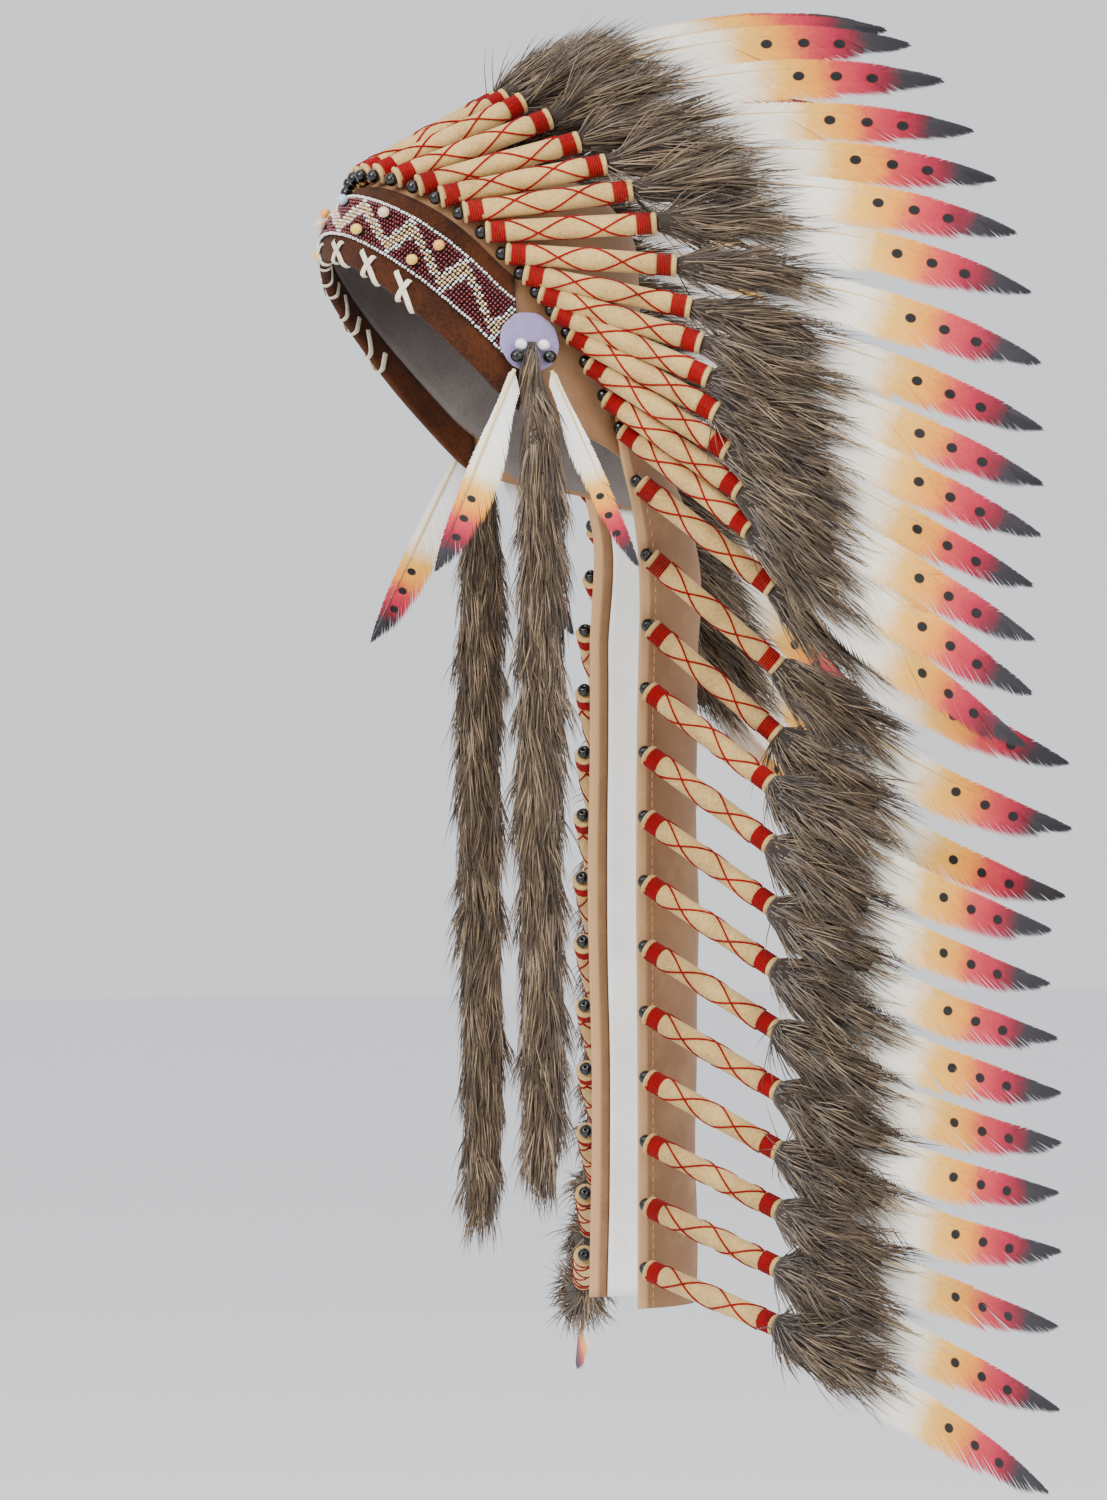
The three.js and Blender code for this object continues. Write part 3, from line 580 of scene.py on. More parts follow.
def bead_ball(
    pile, centre, outward_way, radius, hole=0.16, rings=10, sides=18, squash=0.92, slot=0, tone=0.5
):
    """A drilled bead: a ball turned about its hole, closed through it."""
    way = unit(outward_way)
    side = unit(np.cross(way, [0.31, 0.9, 0.29]))
    other = np.cross(way, side)
    angles = np.linspace(0, 2 * math.pi, sides, endpoint=False)
    hole_angle = math.asin(hole)
    outline = [(math.sin(a), math.cos(a)) for a in np.linspace(hole_angle, math.pi - hole_angle, rings)]
    points = []
    for ring, height in outline:
        circle = np.cos(angles)[:, None] * side + np.sin(angles)[:, None] * other
        points.append(centre + radius * (ring * circle + height * squash * way))
    faces = grid_faces(rings, sides, round_rows=True, round_columns=True)
    pile.add(np.concatenate(points), outward(np.concatenate(points), faces), slot, tone=tone)


def cad_centre(node):
    low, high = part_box(node)
    return (np.array(low) + np.array(high)) * 500


pearl_finishes = [pearl_finish(tint) for tint in PEARL_TINTS]
pearls = Pile()
for number in range(1, 13):
    centre = cad_centre(f"pearl_{number}")
    tint = list(PEARL_TINTS).index(PEARL_ORDER[(number - 1) % 6])
    bead_ball(pearls, centre, [0.15, -0.2, 0.97], 3.6, slot=tint, rings=14, sides=22)
pearls = report(pearls.make("pearls", pearl_finishes))
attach(pearls, "root")
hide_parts(*[f"pearl_{n}" for n in range(1, 13)])

# %% [markdown]
# ## Hood
# The hood is one dished wall of soft leather with a cloth lining inside it. Both
# are the same surface at different depths, so one function makes a closed wall
# from any two depths. Soft leather is never quite even: the low waves made here move
# the trailer's face, while the hood's wall stays smooth.

# %% Hood and lining
def ripple(points, size, height):
    """Slow uneven waves over a surface, the same on every run."""
    p = np.asarray(points) / size
    waves = np.sin(p[..., 0] + 1.7 * np.sin(p[..., 1] * 0.8)) + np.sin(p[..., 1] * 1.3 + p[..., 2])
    return height * (waves + np.sin(p[..., 2] * 1.9 + p[..., 0] * 0.7)) / 3


def hood_wall(name, low, outer, inner, material, turns=120, rows=30):
    turn = np.linspace(0, 2 * math.pi, turns, endpoint=False)
    shares = np.linspace(0, 1, rows) ** 0.9
    sheets = []
    for out in (outer, inner):
        ups = low(turn)[None, :] + shares[:, None] * (crown_up(turn) - low(turn))[None, :]
        sheets.append(on_hood(turn[None, :], ups, out))
    face = sheets[0].reshape(-1, 3)
    back = sheets[1].reshape(-1, 3)
    points = np.concatenate([face, back])
    faces = grid_faces(rows, turns, round_columns=True)
    back_faces = [tuple(i + len(face) for i in reversed(f)) for f in faces]
    rim_faces = []
    for j in range(turns):
        k = (j + 1) % turns
        rim_faces.append((j, j + len(face), k + len(face), k))
    pile = Pile()
    pile.add(hang(points), outward(points, faces + back_faces + rim_faces))
    return report(pile.make(name, [material]))


def close_crown(piece):
    """Joins the ring of points at the crown into one on each side of the wall."""
    work = bmesh.new()
    work.from_mesh(piece.data)
    bmesh.ops.remove_doubles(work, verts=work.verts, dist=1e-5)
    work.to_mesh(piece.data)
    work.free()
    return piece


# Estimates: the hood's flat length, and what the cutting adds to a width that is
# worked back from the area.
HOOD_LONG, CUT_ALLOWANCE = 0.36, 1.1


def declare_cut(piece, long, wide=None):
    """Says what a thin piece was cut from: half its surface, at most width x length."""
    area = sum(face.area for face in piece.data.polygons) / 2
    wide, long = round(wide or area * CUT_ALLOWANCE / long, 3), round(long, 3)
    area = round(min(area, wide * long), 5)
    print(piece.name, "cut", wide, "by", long, "m, area", area, "m2")


hood = close_crown(hood_wall("hood_leather", lambda t: 0 * t, 0.0, -LEATHER, TAN_LEATHER))
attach(hood, "root")
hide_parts("cap_shell")
declare_cut(hood, HOOD_LONG)
LINING_OUT = -LEATHER - GAP
lining = hood_wall(
    "hood_lining",
    lambda t: 2 + (STRIP_LOW - 2.1) * smooth(np.cos(t), -0.4, -0.15),
    LINING_OUT,
    LINING_OUT - LINING,
    GREY_LINING,
)
lining = close_crown(lining)
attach(lining, "root")
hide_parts("cap_lining")
declare_cut(lining, HOOD_LONG)

# %% [markdown]
# ## Brow band
# The band is a strip of suede-faced felt that is folded under the rim and turned up
# inside. A folded strip is a section moved round the brow: here the section is a
# list of (mm up, mm out) places that go down the face, round the fold and up again.

# %% Brow band
def band_section():
    """One closed outline of the folded band, as (up, out) places in mm."""
    inside = LINING_OUT
    face = [(up, FELT_FACE) for up in np.linspace(BAND_TOP - 0.8, 0, 12)]
    middle_out = (FELT_FACE + inside - BAND_FELT) / 2
    reach = (FELT_FACE - inside + BAND_FELT) / 2
    fold = [
        (-BAND_FOLD * math.sin(a) ** 0.7, middle_out + reach * math.cos(a))
        for a in np.linspace(0.15, math.pi - 0.15, 9)
    ]
    back = [(up, inside - BAND_FELT) for up in (0, 4, 9, BAND_TURN_UP - 0.6)]
    end = [(BAND_TURN_UP, inside - BAND_FELT + 0.6), (BAND_TURN_UP, inside - 0.1)]
    inner = [(up, inside - 0.05) for up in (9, 4, 0.6)] + [(-0.25, inside + 0.4), (-0.25, -0.3)]
    rise = [(up, GAP - 0.05) for up in np.linspace(0.4, BAND_TOP - 0.5, 12)]
    return face + fold + back + end + inner + rise + [(BAND_TOP, GAP + 0.5), (BAND_TOP, FELT_FACE - 0.6)]


def round_brow(name, section, turns, material, wobble=0.0):
    """Moves a closed (up, out) section along the turns of the brow."""
    rows = []
    for turn in turns:
        ups = np.array([up for up, _ in section])
        outs = np.array([out for _, out in section])
        outs = outs + wobble * np.sin(9 * turn + ups / 9) * (outs > GAP + 0.2)
        rows.append(on_hood(turn, ups, outs))
    points = np.concatenate(rows)
    faces = tube_faces(len(turns), len(section))
    pile = Pile()
    pile.add(hang(points), outward(points, faces))
    return report(pile.make(name, [material]))


turns = np.linspace(-STRIP_END, STRIP_END, 121)
band = round_brow("brow_band_suede", band_section(), turns, BROWN_SUEDE, wobble=0.15)
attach(band, "root")
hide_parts("brow_band")


def brow_length(up, out):
    """Length of the line round the brow at one height, in mm."""
    line = hang(on_hood(turns, up, out))
    return float(np.linalg.norm(np.diff(line, axis=0), axis=1).sum())


# %% [markdown]
# ## Thong, threads and cords
# A thong or a thread is a section moved along a path. The section needs a steady
# "up" at every point of the path, or the ribbon would twist where the path bends.

# %% Sweep helper
def ways_along(path):
    ways = np.gradient(path, axis=0)
    return unit(ways)


def sweep(pile, path, ups, width, thick, slot=0, tone=0.5, sides=8, boxy=0.7):
    """Moves a rounded flat section along a path; ups point out of its face."""
    path = np.asarray(path, float)
    ways = ways_along(path)
    ups = np.asarray(ups, float)
    side = unit(np.cross(ways, ups))
    up = np.cross(side, ways)
    angles = np.linspace(0, 2 * math.pi, sides, endpoint=False) + math.pi / sides
    across_share = np.sign(np.cos(angles)) * np.abs(np.cos(angles)) ** boxy
    up_share = np.sign(np.sin(angles)) * np.abs(np.sin(angles)) ** boxy
    width, thick = np.broadcast_to(width, len(path)), np.broadcast_to(thick, len(path))
    points = path[:, None, :] + side[:, None, :] * (across_share * width[:, None] / 2)[..., None]
    points = points + up[:, None, :] * (up_share * thick[:, None] / 2)[..., None]
    along = np.linspace(0, 1, len(path))[:, None] * np.ones(sides)
    round_share = np.ones(len(path))[:, None] * np.linspace(0, 1, sides)
    uv = np.stack([along, round_share], -1).reshape(-1, 2)
    flat = points.reshape(-1, 3)
    pile.add(flat, outward(flat, tube_faces(len(path), sides)), slot, uv, tone)


print("sweep ready")

# %% [markdown]
# ## Crossed lacing
# Flat ivory thong goes through the felt, crosses over the face of the band, wraps
# the folded edge and comes up inside. Seven crosses are spaced along the brow.

# %% Lacing
LACE_PITCH, LACE_REACH, LACE_LEAN, LACE_WIDTH, LACE_THICK = 31.0, 11.0, 6.0, 3.6, 1.1


def turn_at(distance, up, out):
    """The turn round the brow that lies a distance in mm from the front."""
    fine = np.linspace(0, math.radians(120), 400)
    line = on_hood(fine, up, out)
    length = np.concatenate([[0], np.cumsum(np.linalg.norm(np.diff(line, axis=0), axis=1))])
    return np.sign(distance) * np.interp(np.abs(distance), length, fine)


def lace_arm(pile, centre, side, lift):
    """One arm of a cross: from its hole, down the face and round the edge."""
    face = FELT_FACE + GAP + LACE_THICK / 2 + lift
    inside = LINING_OUT - BAND_FELT - GAP - LACE_THICK / 2
    fold = -BAND_FOLD - GAP - LACE_THICK / 2 - 0.3
    stops = [
        (-LACE_LEAN, LACE_REACH, face - 1.6),
        (-LACE_LEAN * 0.86, LACE_REACH - 1.2, face),
        (-LACE_LEAN * 0.3, LACE_REACH * 0.55, face + 0.1),
        (LACE_LEAN * 0.45, 1.0, face),
        (LACE_LEAN * 0.85, fold * 0.72, face - 0.5),
        (LACE_LEAN, fold, (face + inside) / 2),
        (LACE_LEAN * 1.1, fold * 0.6, inside + 0.4),
        (LACE_LEAN * 1.3, 2.0, inside),
        (LACE_LEAN * 1.7, 7.5, inside + 0.2),
    ]
    stops = np.array(stops)
    steps = np.linspace(0, len(stops) - 1, 41)
    places = np.stack([np.interp(steps, range(len(stops)), stops[:, k]) for k in range(3)], -1)
    kernel = np.array([0.25, 0.5, 0.25])
    for _ in range(3):
        places[1:-1] = sum(k * places[i : len(places) - 2 + i] for i, k in enumerate(kernel))
    turn = turn_at(centre + side * places[:, 0], 0, FELT_FACE)
    path = hang(on_hood(turn, places[:, 1], places[:, 2]))
    middle = hang(on_hood(turn, -BAND_FOLD * 0.2 + 0 * turn, 0 * turn + (face + inside) / 2))
    spine = hang(on_hood(turn, np.maximum(places[:, 1], 0), 0 * turn + (face + inside) / 2))
    sweep(pile, path, unit(path - np.where(places[:, 1:2] > 0, spine, middle)), LACE_WIDTH, LACE_THICK)


lacing = Pile()
for cross in range(-3, 4):
    for side, lift in ((1, 0.0), (-1, 0.75)):
        lace_arm(lacing, cross * LACE_PITCH, side, lift)
lacing = report(lacing.make("edge_lacing_thong", [IVORY_THONG]))
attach(lacing, "root")
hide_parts("edge_lacing")

# %% [markdown]
# ## Geometry Nodes: one tree that sets things in place
# Seed beads, wraps and stitches are all "put a copy of this at each point, turned
# to face that way". A mesh of bare points carries the places, with a vector
# attribute for the way to face. The tree turns each copy, keeps its tone, and ends
# in Realize Instances and Set Material, so that the result is plain mesh.

# %% Tree for setting copies on points
def new_tree(name, sockets):
    tree = bpy.data.node_groups.new(name, "GeometryNodeTree")
    tree.interface.new_socket("Geometry", in_out="INPUT", socket_type="NodeSocketGeometry")
    for label, kind, default in sockets:
        socket = tree.interface.new_socket(label, in_out="INPUT", socket_type=kind)
        if default is not None:
            socket.default_value = default
    tree.interface.new_socket("Geometry", in_out="OUTPUT", socket_type="NodeSocketGeometry")
    return tree


def add_node(tree, kind, values=None, **settings):
    node = tree.nodes.new(kind)
    for key, value in settings.items():
        setattr(node, key, value)
    for key, value in (values or {}).items():
        if isinstance(value, bpy.types.NodeSocket):
            tree.links.new(value, node.inputs[key])
        else:
            node.inputs[key].default_value = value
    return node


def named(tree, label, kind="FLOAT"):
    node = add_node(tree, "GeometryNodeInputNamedAttribute", {"Name": label}, data_type=kind)
    return node.outputs["Attribute"]


def placing_tree():
    """Copies "Piece" onto each point, its Z along "aim" and its X towards "side"."""
    sockets = [("Piece", "NodeSocketObject", None), ("Finish", "NodeSocketMaterial", None)]
    tree = new_tree("set_pieces_on_points", sockets)
    enter = add_node(tree, "NodeGroupInput").outputs
    points = add_node(tree, "GeometryNodeMeshToPoints", {"Mesh": enter["Geometry"]}).outputs["Points"]
    aim = named(tree, "aim", "FLOAT_VECTOR")
    upright = add_node(tree, "FunctionNodeAlignRotationToVector", {"Vector": aim})
    upright.axis = "Z"
    turned = add_node(
        tree,
        "FunctionNodeAlignRotationToVector",
        {"Rotation": upright.outputs[0], "Vector": named(tree, "side", "FLOAT_VECTOR")},
    )
    turned.axis, turned.pivot_axis = "X", "Z"
    piece = add_node(tree, "GeometryNodeObjectInfo", {"Object": enter["Piece"]}).outputs["Geometry"]
    values = {"Points": points, "Instance": piece, "Rotation": turned.outputs[0]}
    copies = add_node(tree, "GeometryNodeInstanceOnPoints", values).outputs["Instances"]
    whole = add_node(tree, "GeometryNodeRealizeInstances", {"Geometry": copies}).outputs["Geometry"]
    return tree, enter, whole


def placing_tree_finished(set_finish):
    tree, enter, whole = placing_tree()
    if set_finish:
        whole = add_node(tree, "GeometryNodeSetMaterial", {"Geometry": whole, "Material": enter["Finish"]})
        whole = whole.outputs["Geometry"]
    tree.links.new(whole, add_node(tree, "NodeGroupOutput").inputs["Geometry"])
    return tree


PLACE_TREE = placing_tree_finished(True)


def run_tree(piece, tree, inputs, name):
    """Runs a tree on a piece once and returns the result as a plain mesh piece."""
    modifier = piece.modifiers.new("make", "NODES")
    modifier.node_group = tree
    for item in tree.interface.items_tree:
        if item.item_type == "SOCKET" and item.in_out == "INPUT" and item.name in inputs:
            modifier[item.identifier] = inputs[item.name]
    piece.update_tag()
    graph = bpy.context.evaluated_depsgraph_get()
    mesh = bpy.data.meshes.new_from_object(piece.evaluated_get(graph), depsgraph=graph)
    mesh.name = name
    made = bpy.data.objects.new(name, mesh)
    bpy.context.scene.collection.objects.link(made)
    bpy.data.objects.remove(piece, do_unlink=True)
    return made


def set_copies(name, master, places, aims, sides, tones, material, tree=PLACE_TREE):
    """Points in mm with their ways, and a master piece, become one mesh piece."""
    mesh = bpy.data.meshes.new(name + "_points")
    mesh.from_pydata((np.asarray(places) / 1000).tolist(), [], [])
    for label, values in (("aim", aims), ("side", sides)):
        attribute = mesh.attributes.new(label, "FLOAT_VECTOR", "POINT")
        attribute.data.foreach_set("vector", np.asarray(values, float).ravel())
    if tones is not None:
        mesh.attributes.new("tone", "FLOAT", "POINT").data.foreach_set("value", np.asarray(tones, float))
    points = bpy.data.objects.new(name + "_points", mesh)
    bpy.context.scene.collection.objects.link(points)
    return run_tree(points, tree, {"Piece": master, "Finish": material}, name)


print("placing tree has", len(PLACE_TREE.nodes), "nodes")

# %% [markdown]
# ## Beaded strip
# The strip is black cloth covered with rows of tiny glass beads. A white row edges
# it, a pale zigzag runs between the edges, and dark red beads fill its triangles,
# with a pearl in each. The pattern is a rule on (place along, row), so each bead
# gets its tint as a number, and the tree sets all of them at once.

# %% Beaded strip
BEAD_PITCH, PEARL_PITCH, PEARL_LOW, PEARL_HIGH = 2.25, 21.5, 21.5, 37.0
BEAD_ROWS = 13
PEARLS_PER_SIDE = 6


def bead_tint(distance, row):
    """Tint below 0.25 white, below 0.5 cream, else dark red, by the pattern's rule."""
    middle = (BEAD_ROWS - 1) / 2
    if row in (0, BEAD_ROWS - 1):
        return 0.05
    phase = (distance / PEARL_PITCH + 0.5) % 2
    swing = abs(phase - 1) * 2 - 1
    offset = abs((row - middle) + swing * 3.7)
    if offset < 1.0:
        return 0.3
    return 0.05 if offset < 2.1 else 0.55


def near_pearl(distance, up):
    slot = round(distance / PEARL_PITCH - 0.5)
    if not -PEARLS_PER_SIDE <= slot < PEARLS_PER_SIDE:
        return False
    centre = (slot + 0.5) * PEARL_PITCH
    height = PEARL_LOW if slot % 2 == 0 else PEARL_HIGH
    return math.hypot(distance - centre, up - height) < 3.2


def make_beaded_strip():
    backing_section = [
        (STRIP_LOW, FELT_FACE + GAP),
        (STRIP_LOW, FELT_FACE + GAP + 0.8),
        ((STRIP_LOW + STRIP_HIGH) / 2, FELT_FACE + GAP + 0.9),
        (STRIP_HIGH, FELT_FACE + GAP + 0.8),
        (STRIP_HIGH, FELT_FACE + GAP),
        ((STRIP_LOW + STRIP_HIGH) / 2, FELT_FACE + GAP),
    ]
    backing = round_brow("beaded_strip_backing", backing_section, turns, BLACK_BACKING)
    places, aims, sides, tones = [], [], [], []
    centre_up, centre_out = (STRIP_LOW + STRIP_HIGH) / 2, STRIP_FACE
    half = brow_length(centre_up, centre_out) / 2 - 1.5
    chance = np.random.default_rng(7)
    out = FELT_FACE + GAP + 0.9 + 0.75
    for step in range(-int(half / BEAD_PITCH), int(half / BEAD_PITCH) + 1):
        distance = step * BEAD_PITCH
        turn = float(turn_at(distance, centre_up, centre_out))
        for row in range(BEAD_ROWS):
            up = STRIP_LOW + 1.1 + row * (STRIP_HIGH - STRIP_LOW - 2.2) / (BEAD_ROWS - 1)
            if near_pearl(distance, up):
                continue
            shift = chance.normal(0, 0.12, 2)
            at = on_hood(turn + shift[0] / 90, up + shift[1], out)
            beside = on_hood(turn + 0.01, up, out)
            above = on_hood(turn, up, out + 1)
            places.append(at)
            sides.append(hang_way(at, unit(beside - at))[0])
            aims.append(hang_way(at, unit(above - on_hood(turn, up, out)))[0])
            tones.append(bead_tint(distance, row))
    master = Pile()
    bead_ball(master, np.zeros(3), [1, 0, 0], 1.12, hole=0.3, rings=4, sides=6, squash=0.8)
    master = master.make("seed_bead_master", [SEED_BEAD])
    master.data.attributes.remove(master.data.attributes["tone"])
    beads = set_copies(
        "seed_beads", master, hang(np.array(places)), np.array(aims), np.array(sides), tones, SEED_BEAD
    )
    bpy.data.objects.remove(master, do_unlink=True)
    return backing, report(beads)


strip_backing, seed_beads = make_beaded_strip()
for piece in (strip_backing, seed_beads):
    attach(piece, "root")
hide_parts("beaded_strip")
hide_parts("beaded_strip")
strip_long, strip_wide = brow_length(STRIP_LOW, STRIP_FACE) / 1000, (STRIP_HIGH - STRIP_LOW) / 1000
declare_cut(strip_backing, strip_long, wide=strip_wide)

# %% [markdown]
# ## Trailer
# The trailer is one long piece of leather that hangs in a deep curve, with both
# long edges folded in and stitched. The hem is a second thickness along each edge,
# so the section is one closed outline: out along the face and back along the inside
# with a step at each hem. Slow ripples keep it from looking like sheet metal.

# %% Trailer leather
HEM_SHARE, HEM_THICK, LINING_EDGE = 0.87, 2.8, 0.86


def hung_wall(name, zs, section, material, waves=1.2):
    """A closed wall down the trailer; section gives shares and outs for one z."""
    rows, uvs = [], []
    for z in zs:
        shares, outs = section(z)
        points = on_trailer(z, shares, outs)
        uvs.append(np.stack([shares, np.full(len(shares), z / 1000)], -1))
        lift = ripple(points, 31.0, waves)[..., None] * [0.35, 1, 0]
        rows.append(points + lift * fade(z, shares)[..., None])
    points = np.concatenate(rows)
    faces = tube_faces(len(zs), len(rows[0]))
    pile = Pile()
    pile.add(hang(points), outward(points, faces), 0, np.concatenate(uvs))
    return report(pile.make(name, [material]))


def fade(z, shares):
    """Ripples die out at the top, where the hood holds the leather, and at the edges."""
    held = smooth(-z, 200, 300)
    return held * (1 - np.abs(np.asarray(shares)) ** 2)


def panel_section(z):
    side = np.linspace(-1, 1, 61)
    face = (side, np.full(61, PANEL_THICK))
    step = [1.003, 1.003, HEM_SHARE + 0.006, HEM_SHARE]
    step_out = [PANEL_THICK - 0.6, PANEL_THICK - HEM_THICK + 0.3, PANEL_THICK - HEM_THICK, 0]
    back = np.linspace(HEM_SHARE - 0.01, -HEM_SHARE + 0.01, 45)
    shares = np.concatenate([face[0], step, back, [-s for s in reversed(step)]])
    outs = np.concatenate([face[1], step_out, np.zeros(45), list(reversed(step_out))])
    return shares, outs


zs = np.concatenate([np.linspace(TRAILER_TOP, -300, 30), np.linspace(-306, TRAILER_BOTTOM, 74)])
panel = hung_wall("trailer_leather", zs, panel_section, HEMMED_LEATHER)
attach(panel, "root")
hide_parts("trailer_panel")


def lining_section(z):
    shares = np.linspace(-LINING_EDGE, LINING_EDGE, 45)
    both = np.concatenate([shares, shares[::-1]])
    outs = np.concatenate([np.full(45, -2 * GAP), np.full(45, -2 * GAP - 1.0)])
    return both, outs


lining_zs = np.linspace(-230, TRAILER_BOTTOM, 80)
cloth = hung_wall("trailer_cloth", lining_zs, lining_section, WHITE_LINING)
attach(cloth, "root")
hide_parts("trailer_lining")


def hung_area(zs, edge):
    """Area in m2 of the trailer between two shares of its width."""
    sheet = np.array([hang(on_trailer(z, np.linspace(-edge, edge, 41), np.zeros(41))) for z in zs])
    down, over = np.diff(sheet, axis=0)[:, :-1], np.diff(sheet, axis=1)[:-1]
    return float(np.linalg.norm(np.cross(down, over), axis=-1).sum()) / 1e6


# Estimates: the flat widths are worked back from the areas with a little added.
PANEL_ALLOWANCE, CLOTH_ALLOWANCE, CLOTH_TOP = 1.12, 1.05, -230
drop = (TRAILER_TOP - TRAILER_BOTTOM) / 1000
panel_area = hung_area(zs, 1.0)
cloth_area = hung_area(lining_zs, LINING_EDGE)
print("trailer leather", round(panel_area, 4), "m2, cloth", round(cloth_area, 4), "m2")
panel_wide = round(panel_area / drop * PANEL_ALLOWANCE, 3)
panel_flat, panel_area = (panel_wide, round(drop, 3)), round(panel_area, 4)
cloth_drop = (CLOTH_TOP - TRAILER_BOTTOM) / 1000
cloth_wide = round(cloth_area / cloth_drop * CLOTH_ALLOWANCE, 3)
cloth_flat, cloth_area = (cloth_wide, round(cloth_drop, 3)), round(cloth_area, 4)

# %% [markdown]
# ## Hem stitches
# A running stitch holds each hem. It is a short thread bump set at even steps down
# the edge: the same placing tree as the beads, with a stitch as its piece.

# %% Hem stitches
def make_stitches():
    stitch = Pile()
    path = np.stack([np.zeros(7), np.linspace(-2.1, 2.1, 7), 0.35 * np.cos(np.linspace(-1.5, 1.5, 7))], -1)
    sweep(stitch, path, np.tile([0, 0, 1.0], (7, 1)), 0.7, 0.5, sides=5, boxy=1)
    master = stitch.make("stitch_master", [IVORY_THONG])
    places, aims, sides = [], [], []
    for share in (-HEM_SHARE - 0.02, HEM_SHARE + 0.02):
        for z in np.arange(TRAILER_TOP - 60, TRAILER_BOTTOM, -6.0):
            one = np.array([share])
            at = on_trailer(z, one, np.array([PANEL_THICK + 0.15]))
            beyond = on_trailer(z, one, np.array([PANEL_THICK + 1.15]))
            aim_way = unit(beyond - at)
            down = np.array([[0, 0, -1.0]])
            places.append(at[0])
            aims.append(hang_way(at, aim_way)[0])
            sides.append(hang_way(at, np.cross(down, aim_way))[0])
    piece = set_copies("hem_stitches", master, hang(np.array(places)), aims, sides, None, TAN_THREAD)
    bpy.data.objects.remove(master, do_unlink=True)
    return report(piece)


stitches = make_stitches()
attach(stitches, "root")

# %% [markdown]
# ## Wrapped quills
# Each quill's stem is rolled in beige felt. Red thread binds it near both ends in
# close turns and crosses over the felt between them, and a black bead closes the
# root. One wrap is modelled with care, and the placing tree sets all 59 of them.

# %% One wrap
BINDING_WIDTH, FELT_BEYOND, FELT_BEYOND_OUTER = 10.0, 5.0, 3.2


def ring(radius, height, sides):
    angles = np.linspace(0, 2 * math.pi, sides, endpoint=False)
    return np.stack([radius * np.cos(angles), radius * np.sin(angles), np.full(sides, float(height))], -1)


def wrap_outline():
    """(height, radius) places of the felt roll, pinched where the thread binds it."""
    low, high = FELT_BEYOND, WRAP_LENGTH - FELT_BEYOND_OUTER
    places = [(3.0, 2.2), (2.6, WRAP_RADIUS - 1.2), (3.2, WRAP_RADIUS - 0.2), (low - 0.6, WRAP_RADIUS - 0.1)]
    places += [(low, WRAP_RADIUS - 1.0), (low + BINDING_WIDTH, WRAP_RADIUS - 1.0)]
    places += [(low + BINDING_WIDTH + 1, WRAP_RADIUS - 0.35), (WRAP_LENGTH / 2, WRAP_RADIUS - 0.2)]
    places += [(high - BINDING_WIDTH - 1, WRAP_RADIUS - 0.35), (high - BINDING_WIDTH, WRAP_RADIUS - 1.0)]
    places += [(high, WRAP_RADIUS - 1.0), (high + 0.6, WRAP_RADIUS - 0.1)]
    rim = [(WRAP_LENGTH - 0.5, WRAP_RADIUS - 0.2), (WRAP_LENGTH, WRAP_RADIUS - 1.4)]
    return places + rim + [(WRAP_LENGTH - 1.5, 1.6)]


def thread_helix(pile, start, end, turns_round, phase, radius, size, steps):
    share = np.linspace(0, 1, steps)
    angle = phase + turns_round * 2 * math.pi * share
    height = start + (end - start) * share
    path = np.stack([radius * np.cos(angle), radius * np.sin(angle), height], -1)
    outs = np.stack([np.cos(angle), np.sin(angle), 0 * angle], -1)
    sweep(pile, path, outs, size, size * 0.8, slot=1, sides=4, boxy=1)


def make_wrap():
    wrap = Pile()
    outline = wrap_outline()
    points = np.concatenate([ring(radius, height, 14) for height, radius in outline])
    wrap.add(points, outward(points, tube_faces(len(outline), 14)))
    for low in (FELT_BEYOND + 0.6, WRAP_LENGTH - FELT_BEYOND_OUTER - BINDING_WIDTH + 0.6):
        thread_helix(wrap, low, low + BINDING_WIDTH - 1.2, 6, low, WRAP_RADIUS - 0.62, 1.75, 61)
    middle_low, middle_high = FELT_BEYOND + BINDING_WIDTH, WRAP_LENGTH - FELT_BEYOND_OUTER - BINDING_WIDTH
    for phase in (0.0, math.pi):
        for hand in (-1, 1):
            thread_helix(wrap, middle_low, middle_high, hand * 1.0, phase, WRAP_RADIUS - 0.1, 1.5, 25)
    bead_ball(wrap, np.zeros(3), [0, 0, 1], WRAP_BEAD, hole=0.2, rings=8, sides=12, slot=2)
    return wrap.make("wrap_master", [BEIGE_FELT, RED_THREAD, BLACK_BEAD])


wrap_master = report(make_wrap())
WRAP_TREE = placing_tree_finished(False)
down_ways = [across(quill.tube_way[None, :])[0][0] for quill in QUILLS]
spins = np.random.default_rng(11).uniform(-0.5, 0.5, len(QUILLS))
side_ways = []
for quill, down, spin in zip(QUILLS, down_ways, spins):
    other = np.cross(quill.tube_way, down)
    side_ways.append(down * math.cos(spin) + other * math.sin(spin))
wraps = set_copies(
    "wrapped_quills",
    wrap_master,
    np.array([quill.root for quill in QUILLS]),
    np.array([quill.tube_way for quill in QUILLS]),
    np.array(side_ways),
    None,
    BEIGE_FELT,
    WRAP_TREE,
)
bpy.data.objects.remove(wrap_master, do_unlink=True)
report(wraps)
print("wrap materials", [m.name for m in wraps.data.materials])
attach(wraps, "root")
WRAP_NODES = [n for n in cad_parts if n.startswith("wrapped_quills")]
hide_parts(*WRAP_NODES)

# %% [markdown]
# ## Feathers
# A feather is a shaft with two rows of barbs. Each barb is a thin closed sliver that
# leaves the shaft at a slant and ends on the vane's outline, so the vane is as
# smooth as its slivers lie side by side, and it frays and splits where they part.
# The narrow vane is above and the wide one below, on every feather of the row.

